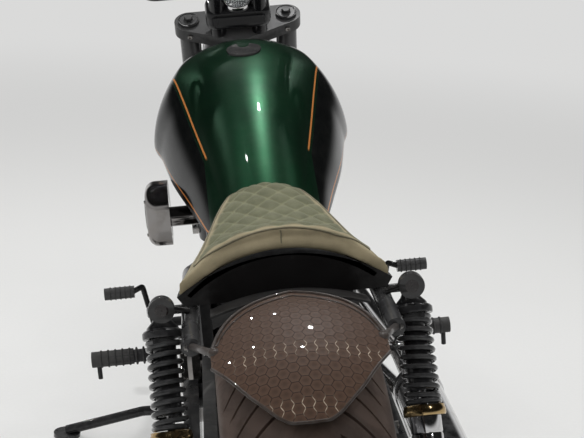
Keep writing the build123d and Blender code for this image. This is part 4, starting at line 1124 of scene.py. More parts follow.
@dataclass
class SoloSeat:
    """The sewn solo seat: a padded top quilted in diamonds, a plain side band and a welt between them."""

    # ahead, crest's half width and height, crown, foot's half width and height, underside
    rows: Sequence[Sequence[float]] = (
        (0.631, 0.008, 0.6895, 0.6950, 0.012, 0.6850, 0.6855), (0.620, 0.044, 0.6895, 0.7000, 0.050, 0.6820, 0.6850),
        (0.597, 0.063, 0.6890, 0.7020, 0.069, 0.6790, 0.6820), (0.560, 0.076, 0.6880, 0.7025, 0.082, 0.6740, 0.6790),
        (0.500, 0.090, 0.6860, 0.7010, 0.096, 0.6680, 0.6740), (0.430, 0.102, 0.6840, 0.6995, 0.109, 0.6630, 0.6710),
        (0.365, 0.112, 0.6825, 0.7015, 0.122, 0.6600, 0.6710), (0.300, 0.121, 0.6820, 0.7085, 0.136, 0.6580, 0.6740),
        (0.250, 0.128, 0.6840, 0.7215, 0.149, 0.6565, 0.6820), (0.205, 0.134, 0.6880, 0.7355, 0.159, 0.6545, 0.6950),
        (0.172, 0.137, 0.6930, 0.7430, 0.166, 0.6525, 0.7040), (0.155, 0.136, 0.6945, 0.7440, 0.168, 0.6510, 0.7100),
        (0.1400, 0.168, 0.6740, 0.7270, 0.160, 0.6500, 0.7170))
    steps: int = 44
    wide: float = 0.044
    long: float = 0.082
    puff: float = 0.0058
    swell: float = 0.006
    voxel: float = 0.0045
    mass: float = 0.3           # the cloth's, with its stiffness, air pressure and run
    stiffness: float = 25.0
    pressure: float = 4.0
    frames: int = 20
    welt_r: float = 0.0017
    seam_r: float = 0.0011

    def __post_init__(self) -> None:
        """Notes where the crest starts and ends along the seat."""
        self.nose, self.tail = self.rows[0][0], self.rows[-2][0]

    def ring(self, ahead: float, crest: float, crest_z: float, top: float, foot: float, foot_z: float,
             under: float) -> list[Vector]:
        """One section: the crown from crest to crest, the bands at its sides and the hollow underside.

        Args:
            ahead: Its place along the seat.
            crest: The crest's half width.
            crest_z: The crest's height.
            top: The crown's height.
            foot: The foot's half width.
            foot_z: The foot's height.
            under: The underside's height.

        Returns:
            The section's points.
        """
        bow, bow_z = (crest + foot) / 2 + 0.003, (crest_z + foot_z) / 2 + 0.002
        crown = arc((crest, crest_z), (0, top), (-crest, crest_z), 24)
        left = arc((-crest, crest_z), (-bow, bow_z), (-foot, foot_z), 5)
        hollow = arc((-foot, foot_z), (0, under), (foot, foot_z), 14)
        right = arc((foot, foot_z), (bow, bow_z), (crest, crest_z), 5)
        return [spot(x, ahead, z) for x, z in crown + left + hollow + right]

    def crest_at(self, ahead: float) -> list[float]:
        """The crest's half width and height at a place along the seat."""
        return between(self.rows, ahead)[:2]

    def cover(self) -> Piece:
        """The plain cover, closed at the nose and the tail."""
        rings = [self.ring(at, *between(self.rows, at)) for at in spread(self.nose, self.tail, self.steps)]
        return filled(skin("quilted_seat", rings + [self.ring(*self.rows[-1])], wrap_across=True))

    def inflate(self, plain: Piece) -> None:
        """Lets air pressure round the cover, holds the underside still and caps the swelling.

        Args:
            plain: The closed cover.
        """
        still = [vertex.co.copy() for vertex in plain.data.vertices]
        take(plain)
        cloth = plain.modifiers.new("cloth", "CLOTH")
        cloth.settings.quality = 5
        cloth.settings.mass = self.mass
        cloth.settings.tension_stiffness = cloth.settings.compression_stiffness = self.stiffness
        cloth.settings.use_pressure = True
        cloth.settings.uniform_pressure_force = self.pressure
        cloth.settings.effector_weights.gravity = 0
        for step in range(1, self.frames + 1):
            bpy.context.scene.frame_set(step)
        bpy.ops.object.modifier_apply(modifier=cloth.name)
        bpy.context.scene.frame_set(1)
        for vertex, home in zip(plain.data.vertices, still):
            step = vertex.co - home
            cap = self.swell * self.softness(home)
            vertex.co = home + (step.normalized() * min(step.length, cap) if step.length > 1e-7 else step)
        modified(plain, "SMOOTH", factor=0.5, iterations=3)

    def softness(self, point: Vector) -> float:
        """How far a point may swell: all on the crown, a little on the band and not at all below.

        Args:
            point: A point of the cover.

        Returns:
            The share of the swelling, 0 to 1.
        """
        crest, crest_z = self.crest_at(clamped(-point.y, self.tail, self.nose))
        inside = clamped((crest - abs(point.x)) / 0.03)
        above = clamped((point.z - crest_z + 0.008) / 0.012)
        return above * (0.25 + 0.75 * inside)

    def quilting(self, point: Vector) -> float:
        """The quilting's height at a point of the crown, 0 in a seam and 1 in the middle of a diamond."""
        slant, other = point.x / self.wide - point.y / self.long, point.x / self.wide + point.y / self.long
        return abs(math.sin(math.pi * slant) * math.sin(math.pi * other)) ** 0.42

    def quilt(self, cover: Piece) -> None:
        """Sews the diamonds into the crown, and marks the crown for its finish.

        Args:
            cover: The seat's cover.
        """
        share, seams = [], []
        for vertex in cover.data.vertices:
            ahead = -vertex.co.y
            crest, crest_z = self.crest_at(clamped(ahead, self.tail, self.nose))
            inside = (crest - 0.004 - abs(vertex.co.x)) / 0.006
            rear, front = (ahead - self.tail - 0.004) / 0.006, (self.nose - 0.012 - ahead) / 0.012
            top = vertex.co.z > crest_z - 0.002 and vertex.normal.z > 0.2
            share.append(clamped(min(inside, rear, front)) if top else 0.0)
            seams.append(share[-1] * clamped((0.42 - self.quilting(vertex.co)) / 0.2))
        for name, values in (("sewn", seams), ("plain", [1.0 - value for value in share])):
            cover.data.attributes.new(name, "FLOAT", "POINT").data.foreach_set("value", values)
        weights = iter(share)
        moved_points(cover, lambda point, normal: normal * (
            self.puff * (self.quilting(point) - 0.75) * next(weights)))

    def welt(self, cover: Piece) -> Piece:
        """The piping along the crest, laid on the swollen cover.

        Args:
            cover: The seat's cover.

        Returns:
            The piping.
        """
        crests = [(at, *self.crest_at(at)) for at in spread(self.rows[1][0], self.tail, 26)]
        half, half_z, top = between(self.rows, self.tail)[:3]
        round_tail = arc((-half, half_z), (0, top), (half, half_z), 16)[1:]
        line = [spot(-x, at, z) for at, x, z in crests] + [spot(x, self.tail, z) for x, z in round_tail]
        line += [spot(x, at, z) for at, x, z in reversed(crests)]
        laid = [cover.closest_point_on_mesh(point)[1:3] for point in line]
        return tube("seat_welt", [near + normal * 0.0006 for near, normal in laid], self.welt_r, 12, 3)

    def seam(self, cover: Piece) -> Piece:
        """The short upright seam that joins the band at the middle of the tail.

        Args:
            cover: The seat's cover.

        Returns:
            The seam.
        """
        line = [spot(0.0, 0.1385 + 0.0015 * step, 0.7250 + 0.0023 * step) for step in range(9)]
        laid = [cover.closest_point_on_mesh(point)[1:3] for point in line]
        return tube("band_seam", [near + normal * 0.0002 for near, normal in laid], self.seam_r, 8, 3)

    def pan(self) -> Piece:
        """The gloss edge of the seat pan, which shows under the band round the tail.

        Returns:
            The closed edge.
        """
        rows = []
        for ahead, _, _, _, foot, foot_z, under in self.rows[4:]:
            outer = arc((foot - 0.008, foot_z + 0.005), (0, under), (-foot + 0.008, foot_z + 0.005), 32)
            inner = arc((foot - 0.013, foot_z + 0.001), (0, under - 0.012), (-foot + 0.013, foot_z + 0.001), 32)
            rows.append([spot(x, ahead, z) for x, z in outer + inner[::-1]])
        return filled(skin("seat_pan_edge", rows, wrap_across=True))

    def build(self) -> None:
        """Makes the seat, its pan's edge and its welt."""
        cover = modified(self.cover(), "REMESH", mode="VOXEL", voxel_size=self.voxel)
        self.inflate(cover)
        modified(cover, "SUBSURF", levels=1, render_levels=1)
        self.quilt(cover)
        welt = joined("seat_welt", [self.welt(cover), self.seam(cover)])
        settle(self.pan(), Body.CHASSIS, SHELL_BLACK, smooth=40)
        settle(cover, Body.CHASSIS, SEAT, ["seat"], 60)
        settle(welt, Body.CHASSIS, SEAT_WELT, smooth=60)


@dataclass
class FuelTank:
    """The wide tank: a crowned panel between two sides that run out to the knees."""

    # ahead, panel's half width and edge height, crown, shoulder's half width and height, foot's half width, floor
    rows: Sequence[Sequence[float]] = (
        (1.212, 0.064, 0.858, 0.876, 0.110, 0.792, 0.088, 0.726),
        (1.165, 0.120, 0.870, 0.902, 0.166, 0.748, 0.118, 0.690),
        (1.095, 0.150, 0.846, 0.896, 0.216, 0.690, 0.150, 0.652),
        (1.000, 0.142, 0.804, 0.866, 0.200, 0.670, 0.156, 0.646),
        (0.890, 0.120, 0.756, 0.819, 0.180, 0.642, 0.136, 0.646),
        (0.770, 0.098, 0.708, 0.760, 0.150, 0.620, 0.112, 0.646),
        (0.640, 0.080, 0.653, 0.688, 0.118, 0.606, 0.086, 0.640),
        (0.583, 0.070, 0.636, 0.650, 0.100, 0.604, 0.074, 0.630))
    bulge: float = 0.11
    steps: int = 60
    nose_scale: float = 0.93
    tail_scale: float = 0.9

    def ring(self, ahead: float, panel: float, edge: float, top: float, shoulder: float, shoulder_z: float,
             foot: float, floor: float, scale: float = 1.0) -> list[Vector]:
        """One section: the crown, a side that bows out to its shoulder, the undercut and the floor.

        Args:
            ahead: Its place along the tank.
            panel: The panel's half width.
            edge: The panel's edge height.
            top: The crown's height.
            shoulder: The shoulder's half width.
            shoulder_z: The shoulder's height.
            foot: The foot's half width.
            floor: The floor's height.
            scale: Its size against the table's.

        Returns:
            The section's points.
        """
        bowed = (panel + shoulder) / 2 + self.bulge * (edge - shoulder_z)
        crown = arc((panel, edge), (0, top), (-panel, edge), 26)
        side = arc((-panel, edge), (-bowed, (edge + shoulder_z) / 2), (-shoulder, shoulder_z), 14)
        tuck = (-(shoulder + foot) / 2, (shoulder_z + floor) / 2 + 0.0001)
        under = arc((-shoulder, shoulder_z), tuck, (-foot, floor), 4)
        base = arc((-foot, floor), (-foot / 2, floor + 1e-5), (0, floor), 5)
        half = crown[13:] + side + under + base
        loop = half + [(0.0, floor)] + [(-x, z) for x, z in reversed(half[1:])]
        middle = (edge + floor) / 2
        return [spot(x * scale, ahead, middle + (z - middle) * scale) for x, z in loop]

    def build(self) -> None:
        """Makes the shell, with its seams softened and its nose and tail rounded."""
        nose, tail = self.rows[0], self.rows[-1]
        rings = [self.ring(at, *between(self.rows, at)) for at in spread(nose[0], tail[0], self.steps)]
        rings = [self.ring(*nose, self.nose_scale)] + rings + [self.ring(*tail, self.tail_scale)]
        shell = filled(skin("tank_shell", rings, wrap_across=True))
        modified(shell, "SMOOTH", factor=0.5, iterations=2)
        modified(shell, "SUBSURF", levels=1, render_levels=1)
        settle(shell, Body.CHASSIS, TANK, ["fuel_tank"], 50)


@dataclass
class RearFender:
    """The short crowned fender with its honeycomb, rolled front bead, second ridge and cornered lip."""

    top: float = 0.362
    side: float = 0.341
    half: float = 0.122
    wall: float = 0.0035
    # left of the middle, and degrees behind straight up
    front: Sequence[Pair] = ((0.0, -3.2), (0.05, 0.2), (0.075, 3.0), (0.097, 7.2), (0.114, 13.0), (0.1221, 17.5))
    lip: Sequence[Pair] = ((0.0, 41.2), (0.026, 41.0), (0.042, 39.2), (0.076, 33.1), (0.098, 27.8), (0.122, 22.4))
    droop: float = 1.8
    across: int = 48
    along: int = 56
    stay_left: float = 0.117
    stay_r: float = 0.0055

    def radius(self, left: float) -> float:
        """The crowned section's distance from the axle at a place across.

        Args:
            left: The place, left of the middle.

        Returns:
            The distance.
        """
        sag = self.top - self.side
        ball = (self.half ** 2 + sag ** 2) / (2 * sag)
        return self.top - (ball - math.sqrt(ball ** 2 - left ** 2))

    def front_turn(self, left: float) -> float:
        """The arched front edge's angle, in degrees, at a place across."""
        return between(self.front, abs(left))[0]

    def lip_turn(self, left: float) -> float:
        """The lip's angle behind straight up, in degrees, at a place across.

        Args:
            left: The place, left of the middle.

        Returns:
            The angle.
        """
        for (near, start), (far, end) in zip(self.lip, self.lip[1:]):
            if abs(left) <= far + 1e-9:
                return start + (end - start) * (abs(left) - near) / (far - near)
        return self.lip[-1][1]

    def place(self, left: float, turn: float, out: float = 0.0) -> Vector:
        """A point of the fender's outer face, or off it by out.

        Args:
            left: Left of the middle.
            turn: Degrees behind straight up.
            out: How far off the face.

        Returns:
            The point.
        """
        radius = self.radius(clamped(left, -self.half, self.half)) + out
        angle = math.radians(turn)
        return Vector((left, radius * math.sin(angle), REAR_TYRE_R + radius * math.cos(angle)))

    def sheet(self) -> Piece:
        """The outer sheet with its map for the honeycomb, given its wall inwards.

        Returns:
            The closed sheet.
        """
        lefts = spread(-self.half, self.half, self.across)
        ends = [(left, self.front_turn(left), self.lip_turn(left)) for left in lefts]
        sheet = skin("honeycomb_fender", [
            [self.place(left, start + (end - start) * (step / self.along)) for left, start, end in ends]
            for step in range(self.along + 1)])
        grid = sheet.data.uv_layers.get("UVMap") or sheet.data.uv_layers.new(name="UVMap")
        for loop in sheet.data.loops:
            point = sheet.data.vertices[loop.vertex_index].co
            turn = math.atan2(point.y, point.z - REAR_TYRE_R)
            grid.data[loop.index].uv = (point.x * 1.02, turn * self.top - self.droop * point.x ** 2)
        faced_outwards(sheet)
        if sheet.data.polygons[0].normal.z < 0:
            sheet.data.flip_normals()
        return modified(sheet, "SOLIDIFY", thickness=self.wall, offset=-1)

    def ridge(self, name: str, back: float, radius: float, reach: float) -> Piece:
        """A rounded ridge across the sheet, back from the front edge by some degrees."""
        lefts = [reach * (-1 + i / 15) for i in range(31)]
        return tube(name, [self.place(left, self.front_turn(left) + back) for left in lefts], radius, 12, 4)

    def stays(self) -> list[Piece]:
        """The two stays that carry the fender on the seat struts, each with its foot.

        Returns:
            The stays and their feet.
        """
        made = []
        for side in (-1, 1):
            left, turn = side * self.stay_left, self.front_turn(self.stay_left) + 2.5
            foot, high = self.place(left, turn, -0.004), Vector((side * 0.150, -STRUT_EYE[0], STRUT_EYE[1]))
            long, chamfer = (high - foot).length, self.stay_r * 0.08
            made.append(turned("fender_stay", [
                (0, 0), (self.stay_r - chamfer, 0), (self.stay_r, chamfer), (self.stay_r, long - chamfer),
                (self.stay_r - chamfer, long), (0, long)], foot, high - foot, 16))
            made.append(turned("stay_foot", [
                (0, 0.0065), (0.007, 0.006), (0.0085, 0.004), (0.0085, -0.002), (0, -0.002)],
                foot, (self.place(left, turn, 0.1) - foot).normalized(), 20))
        return made

    def build(self) -> None:
        """Makes the sheet and its trim."""
        settle(self.sheet(), Body.CHASSIS, FENDER, ["rear_fender"], 40)
        lefts = [(self.half - 0.0001) * (-1 + i / 30) for i in range(61)]
        lip = [self.place(left, self.lip_turn(left) - 0.1, -0.0016) for left in lefts]
        trim = [self.ridge("fender_bead", 0.2, 0.0032, self.half - 0.001),
                self.ridge("fender_ridge", 3.0, 0.0017, self.half - 0.009),
                tube("fender_lip", lip, 0.0024, 12, 1)] + self.stays()
        settle(joined("fender_trim", trim), Body.CHASSIS, FENDER_TRIM, smooth=50)


@dataclass
class Tyre:
    """A road tyre: a round crown with long grooves that sweep back to the shoulders, and plain sidewalls."""

    name: str
    node: str
    body: Body
    centre: Vector
    radius: float
    width: float
    crown: float
    crown_half: float
    seat: float
    bead_half: float
    pitches: int
    sweep: float
    # shares of the pitch where a groove starts and ends, and of the crown's half where it starts and ends
    grooves: Sequence[tuple[float, float, float, float]]
    depth: float = 0.006
    groove_wall: float = 0.0075
    groove_margin: float = 0.03
    between_lines: float = 0.085
    fade_in: float = 0.05       # shares of the crown's half over which a groove's floor falls and rises
    fade_out: float = 0.07
    curl: float = 1.6           # how late a groove sweeps back
    rows_across: int = 46

    def crown_point(self, across: float) -> Pair:
        """Radius and side place of a point on the crown, given as an arc length from the middle."""
        angle = across / self.crown
        return self.radius - self.crown * (1 - math.cos(angle)), self.crown * math.sin(angle)

    def columns(self) -> list[tuple[float, int]]:
        """The grid's lines in one pitch: a share of the pitch, and the groove whose floor it is, or -1.

        Returns:
            The lines, in order round the wheel.
        """
        lines: dict[float, int] = {}
        for number, (start, end, _, _) in enumerate(self.grooves):
            lines.update({start: -1, start + self.groove_wall: number, end - self.groove_wall: number, end: -1})
        share = 0.0
        while share < 1.0:
            if all(not (start - self.groove_margin < share < end + self.groove_margin)
                   for start, end, _, _ in self.grooves):
                lines[share] = -1
            share += self.between_lines
        return sorted(lines.items())

    def cut(self, number: int, place: float) -> float:
        """The depth of a groove's floor at a share of the crown's half; there is none for -1.

        Args:
            number: The groove, or -1.
            place: The share.

        Returns:
            The depth.
        """
        if number < 0:
            return 0.0
        near, far = self.grooves[number][2:]
        return self.depth * clamped((place - near) / self.fade_in) * clamped((far - place) / self.fade_out)

    def crown_row(self, across: float, full: float, columns: Sequence[tuple[float, int]]) -> list[Vector]:
        """Points round the wheel at one place across the crown.

        Args:
            across: The arc length from the middle.
            full: The arc length at the crown's edge.
            columns: The grid's lines round the wheel.

        Returns:
            The points.
        """
        radius, side = self.crown_point(across)
        angle, place = across / self.crown, abs(across) / full
        row = []
        for share, number in columns:
            turn = math.tau * (share / self.pitches) + self.sweep * place ** self.curl
            cut = self.cut(number, place)
            out = radius - cut * math.cos(angle)
            inset = math.copysign(cut * math.sin(abs(angle)), side)
            row.append(Vector((side - inset, out * math.sin(turn), out * math.cos(turn))))
        return row

    def sidewall(self, side: int, full: float, columns: Sequence[tuple[float, int]]) -> list[list[Vector]]:
        """Rows of points from the crown's edge down to the bead.

        Args:
            side: 1 on the left and -1 on the right.
            full: The arc length at the crown's edge.
            columns: The grid's lines round the wheel.

        Returns:
            The rows.
        """
        shoulder, half = self.crown_point(full)
        middle, reach = (shoulder + self.seat) / 2, self.width / 2
        section = ((shoulder - 0.004, half + (reach - half) * 0.45), (shoulder - 0.012, half + (reach - half) * 0.75),
                   (middle + 0.006, reach - 0.001), (middle, reach), (middle - 0.012, reach - 0.002),
                   (self.seat + 0.012, self.bead_half + 0.006), (self.seat + 0.006, self.bead_half + 0.003),
                   (self.seat + 0.0004, self.bead_half - 0.002))
        turns = [math.tau * share / self.pitches + self.sweep for share, _ in columns]
        return [[Vector((side * x, radius * math.sin(turn), radius * math.cos(turn))) for turn in turns]
                for radius, x in section]

    def build(self) -> None:
        """Makes the tyre about its axle."""
        full = self.crown * math.asin(self.crown_half / self.crown)
        columns = [(pitch + share, number) for pitch in range(self.pitches) for share, number in self.columns()]
        half = self.rows_across // 2
        rows = [self.crown_row(full * (-1 + i / half), full, columns) for i in range(self.rows_across + 1)]
        rows = self.sidewall(-1, full, columns)[::-1] + rows + self.sidewall(1, full, columns)
        placed = [[point + self.centre for point in row] for row in rows]
        settle(skin(self.name, placed, wrap_rows=True, wrap_across=True), self.body, TYRE, [self.node], 32)


TYRES = (
    Tyre("rear_tyre_grooved", "rear_tyre", Body.REAR_WHEEL, REAR_AXLE, radius=0.325, width=0.240, crown=0.150,
         crown_half=0.112, seat=0.232, bead_half=0.105, pitches=24, sweep=math.radians(17),
         grooves=((0.10, 0.175, 0.06, 0.90), (0.60, 0.665, 0.30, 0.985))),
    Tyre("front_tyre_grooved", "front_tyre", Body.FRONT_WHEEL, FRONT_AXLE, radius=0.322, width=0.130, crown=0.070,
         crown_half=0.058, seat=0.243, bead_half=0.048, pitches=28, sweep=math.radians(9),
         grooves=((0.10, 0.17, 0.08, 0.86), (0.60, 0.66, 0.28, 0.97)), depth=0.005))


@dataclass
class Shocks:
    """The pair of shock absorbers: black coil springs over chrome bodies, with collars, rings and bolts."""

    left: float = 0.195
    top: Pair = (0.154, 0.630)
    low: Pair = (0.018, 0.372)
    wire: float = 0.0046
    coil: float = 0.0254
    turns: float = 9.0
    start: float = 0.1105
    end: float = 0.2415
    flat: float = 0.6          # turns laid flat at each end
    steps: int = 12            # points in one turn

    def __post_init__(self) -> None:
        """Works out the lower eye, the way up the shock and its length."""
        self.foot, head = spot(self.left, *self.low), spot(self.left, *self.top)
        self.up, self.long = (head - self.foot).normalized(), (head - self.foot).length

    def spring(self) -> Piece:
        """The coil, with its ends laid flat on their seats.

        Returns:
            The left shock's spring.
        """
        placing = facing(self.foot, self.up)
        points = []
        for step in range(int((self.turns + 2 * self.flat) * self.steps) + 1):
            turn = step / self.steps
            along = self.start + (self.end - self.start) * clamped((turn - self.flat) / self.turns)
            angle = math.tau * turn
            points.append(placing @ Vector((self.coil * math.cos(angle), self.coil * math.sin(angle), along)))
        return tube("shock_springs_round", points, self.wire, 12, 3)

    def on_rod(self, name: str, profile: Profile, sides: int, ring: bool = False) -> Piece:
        """A round part about the shock's own axis, measured from the lower eye."""
        return turned(name, profile, self.foot, self.up, sides, ring)

    def details(self) -> tuple[list[Piece], list[Piece], list[Piece]]:
        """The left shock's chrome body, rod and bolts, its brass ring, and its black caps, sleeve and eyes.

        Returns:
            The chrome, the brass and the black pieces.
        """
        chrome = [
            self.on_rod("lower_body", [
                (0, 0.012), (0.012, 0.012), (0.020, 0.018), (0.0245, 0.022), (0.0245, 0.060), (0.0232, 0.062),
                (0.0245, 0.064), (0.0245, 0.088), (0, 0.088)], 40),
            self.on_rod("damper_rod", [(0, 0.086), (0.0065, 0.088), (0.0065, 0.130), (0, 0.132)], 24)]
        brass = [self.on_rod("preload_ring", [
            (0.0245, 0.0885), (0.0318, 0.0885), (0.0332, 0.091), (0.0332, 0.0985), (0.0318, 0.1010), (0.0318, 0.1045),
            (0.0245, 0.1045)], 48, True)]
        black = [
            self.on_rod("spring_cap", [
                (0, 0.2475), (0.0315, 0.2475), (0.0325, 0.250), (0.0325, 0.257), (0.0300, 0.260), (0.0255, 0.262),
                (0.0245, self.long - 0.026), (0.016, self.long - 0.017), (0.0125, self.long - 0.010),
                (0, self.long - 0.010)], 48),
            self.on_rod("dust_sleeve", [
                (0.007, 0.128), (0.0185, 0.128), (0.0192, 0.130), (0.0192, 0.218), (0.0185, 0.222), (0.0165, 0.226),
                (0.0185, 0.230), (0.0185, 0.247), (0.007, 0.247)], 32, True)]
        for eye in (spot(self.left, *self.low), spot(self.left, *self.top)):
            black.append(turned("shock_eye", [
                (0.0074, -0.0120), (0.0145, -0.0120), (0.0150, -0.0108), (0.0150, 0.0108), (0.0145, 0.0120),
                (0.0074, 0.0120)], eye, OUT, 32, True))
            chrome.append(turned("eye_bolt", [
                (0, 0.0125), (0.0112, 0.0125), (0.0118, 0.0135), (0.0118, 0.0150), (0.0095, 0.0160), (0.0090, 0.0205),
                (0.0065, 0.0222), (0.0060, 0.0200), (0, 0.0200)], eye, OUT, 6))
        return chrome, brass, black

    def build(self) -> None:
        """Makes both shocks."""
        settle(mirrored(self.spring()), Body.CHASSIS, SPRING_BLACK, ["shock_springs"], 60)
        chrome, brass, black = self.details()
        settle(mirrored(joined("shock_bodies_bright", chrome)), Body.CHASSIS, CHROME, ["shock_bodies"])
        settle(mirrored(joined("preload_rings", brass)), Body.CHASSIS, BRASS_RING)
        settle(mirrored(joined("shock_collars", black)), Body.CHASSIS, FRAME_BLACK)


def crank_way(lean: float) -> Vector:
    """The way up a cylinder that leans forward by an angle."""
    return Vector((0, -math.sin(lean), math.cos(lean)))


@dataclass
class EngineTrim:
    """Round inspection covers, rocker lids and the intake's ring."""

    covers: Sequence[tuple[str, int, Pair, float]] = (
        ("primary_cover", 1, CRANK, 0.070), ("primary_cover", 1, (0.690, 0.300), 0.050),
        ("gear_cover", -1, GEAR_COVER, 0.048))
    lid: Point = (0.066, 0.046, 0.006)
    lid_edge: float = 0.0022
    above: float = 0.45         # above both heads, along a cylinder from the crank

    def round_cover(self, node: str, side: int, centre: Pair, radius: float) -> Piece:
        """A domed cover with a stepped rim, set on a node's side.

        Args:
            node: The node.
            side: 1 on the left and -1 on the right.
            centre: Ahead of the rear axle, and up.
            radius: The cover's radius.

        Returns:
            The cover.
        """
        seat = landed(node, spot(side * OUTSIDE, *centre), OUT * -side)
        steps = ((0, 0.0075), (0.45, 0.0070), (0.62, 0.0058), (0.66, 0.0040), (0.72, 0.0040), (0.76, 0.0052),
                 (0.94, 0.0044), (1, 0.0028), (1.01, -0.003), (0, -0.003))
        return turned("round_cover", [(radius * share, rise) for share, rise in steps], seat[0], OUT * side, 56)

    def rocker_lids(self) -> list[Piece]:
        """The polished lid of each rocker box, a low rounded block along the head.

        Returns:
            The lids.
        """
        made = []
        for axis in (crank_way(-VEE), crank_way(VEE)):
            seat = landed("cylinder_heads", spot(0, *CRANK) + axis * self.above, -axis)
            across = Matrix((OUT, axis.cross(OUT), axis)).transposed().to_4x4()
            placing = Matrix.Translation(seat[0] + axis * self.lid_edge) @ across
            made.append(block("rocker_lid", self.lid, self.lid_edge, placing))
        return made

    def build(self) -> None:
        """Makes the covers, lids and ring."""
        made = [self.round_cover(*cover) for cover in self.covers] + self.rocker_lids()
        plate = landed("intake_cover", spot(OUTSIDE, *INTAKE), -OUT)
        made.append(turned("intake_ring", [(0.026, -0.001), (0.026, 0.0016), (0.029, 0.0022), (0.032, 0.0016),
                                           (0.032, -0.001)], plate[0], OUT, 56, True))
        settle(joined("engine_covers", made), Body.CHASSIS, DARK_CHROME)


@dataclass
class Cockpit:
    """What the rider holds and reads: ribbed grips, switch housings, the round gauge and the fork caps."""

    grip_in: Point = (0.3109, 1.1524, 1.0739)
    grip_out: Point = (0.4205, 1.0915, 1.0711)
    long: float = 0.1254
    ribs: int = 13
    rib_gap: float = 0.0078
    marks: int = 11
    mark_turn: float = 26.0
    first_mark: float = -130.0
    gauge_at: Pair = (0.0074, 0.083)
    switch_gap: float = 0.036
    switch_r: float = 0.0212
    switch_way: Point = (0, 0.55, 0.83)

    def __post_init__(self) -> None:
        """Works out where the left grip starts and the way it runs."""
        self.start, self.way = spot(*self.grip_in), (spot(*self.grip_out) - spot(*self.grip_in)).normalized()

    def grip(self) -> Piece:
        """A rubber sleeve with a flange, raised ribs and a rolled end, open for the bar.

        Returns:
            The left grip.
        """
        profile = [(0.0130, 0.0), (0.0205, 0.0), (0.0212, 0.002), (0.0205, 0.005), (0.0170, 0.0065)]
        for at in (0.012 + i * self.rib_gap for i in range(self.ribs)):
            profile += [(0.0166, at), (0.0178, at + 0.0012), (0.0178, at + 0.0042), (0.0166, at + 0.0054)]
        profile += [(0.0172, self.long - 0.008), (0.0182, self.long - 0.005), (0.0182, self.long - 0.0015),
                    (0.0172, self.long), (0.0130, self.long)]
        return turned("ribbed_grip", profile, self.start, self.way, 40, True)

    def housing(self) -> Piece:
        """The split switch housing beside the grip, with its two buttons.

        Returns:
            The left housing.
        """
        start = self.start - self.way * self.switch_gap
        shell = turned("switch_housing", [
            (0.0130, 0.0), (0.0200, 0.001), (0.0215, 0.004), (0.0215, 0.0155), (0.0208, 0.0160), (0.0208, 0.0168),
            (0.0215, 0.0173), (0.0215, 0.029), (0.0200, 0.032), (0.0130, 0.033)], start, self.way, 40, True)
        over = Vector(self.switch_way)
        button = [(0, 0.0045), (0.0035, 0.0042), (0.0045, 0.003), (0.0045, -0.004), (0, -0.004)]
        buttons = [turned("switch_button", button, start + self.way * along + over * self.switch_r, over, 16)
                   for along in (0.009, 0.023)]
        return joined("switch_housing", [shell] + buttons)

    def gauge_parts(self) -> tuple[Piece, Piece, Piece]:
        """The round gauge: its bezel, its glass, and its plain marks with a hand.

        Returns:
            The bezel, the glass and the marks.
        """
        face = clamp_spot(0, *self.gauge_at)
        bezel = turned("gauge_bezel", [
            (0.0262, -0.0005), (0.0262, 0.0020), (0.0278, 0.0034), (0.0300, 0.0030), (0.0312, 0.0010),
            (0.0312, -0.0040), (0.0300, -0.0040)], face, FORK_UP, 56, True)
        glass = turned("gauge_glass", [
            (0, 0.0030), (0.012, 0.0028), (0.022, 0.0023), (0.0262, 0.0018), (0.0262, 0.0010), (0, 0.0020)],
            face, FORK_UP, 48)
        placing = facing(face, FORK_UP)
        marks = []
        for i in range(self.marks):
            turn = Matrix.Rotation(math.radians(self.first_mark + self.mark_turn * i), 4, "Z")
            size = (0.0009, 0.0028 if i % 2 else 0.0045, 0.0005)
            marks.append(block("gauge_mark", size, 0.0001, placing @ turn @ Matrix.Translation((0, 0.0215, 0.0004))))
        rest = Matrix.Rotation(-math.radians(self.first_mark), 4, "Z") @ Matrix.Translation((0, 0, 0.0006))
        needle = [(-0.0009, -0.004), (0.0009, -0.004), (0.0003, 0.019), (-0.0003, 0.019)]
        marks.append(prism("gauge_hand", needle, 0.0005, placing @ rest))
        return bezel, glass, joined("gauge_marks", marks)

    def slider_top(self, side: int) -> Vector:
        """Where a fork slider ends below its tube."""
        seat = landed("fork_sliders", clamp_spot(side * (FORK_LEFT + 0.0272), FORK_CAP[0], -0.05), -FORK_UP)
        return Vector((side * FORK_LEFT, seat[0].y, seat[0].z))

    def build(self) -> None:
        """Makes both sides of the cockpit and its middle."""
        settle(mirrored(self.grip()), Body.STEERING, SOFT, ["grips"], 50)
        settle(mirrored(self.housing()), Body.STEERING, FRAME_BLACK)
        for piece, finish in zip(self.gauge_parts(), (CHROME, LAMP_GLASS, DIAL_WHITE)):
            settle(piece, Body.STEERING, finish)
        rims = [round_ring("cap_rim", 0.0222, 0.0012, clamp_spot(side * FORK_LEFT, *FORK_CAP), FORK_UP)
                for side in (-1, 1)]
        settle(joined("fork_cap_rims", rims), Body.STEERING, CHROME)
        seal = [(0.0246, 0.0), (0.0312, 0.0), (0.0316, 0.003), (0.0300, 0.007), (0.0272, 0.010), (0.0246, 0.0105)]
        seals = [turned("dust_seal", seal, self.slider_top(side), FORK_UP, 40, True) for side in (-1, 1)]
        settle(joined("fork_seals", seals), Body.STEERING, SOFT)


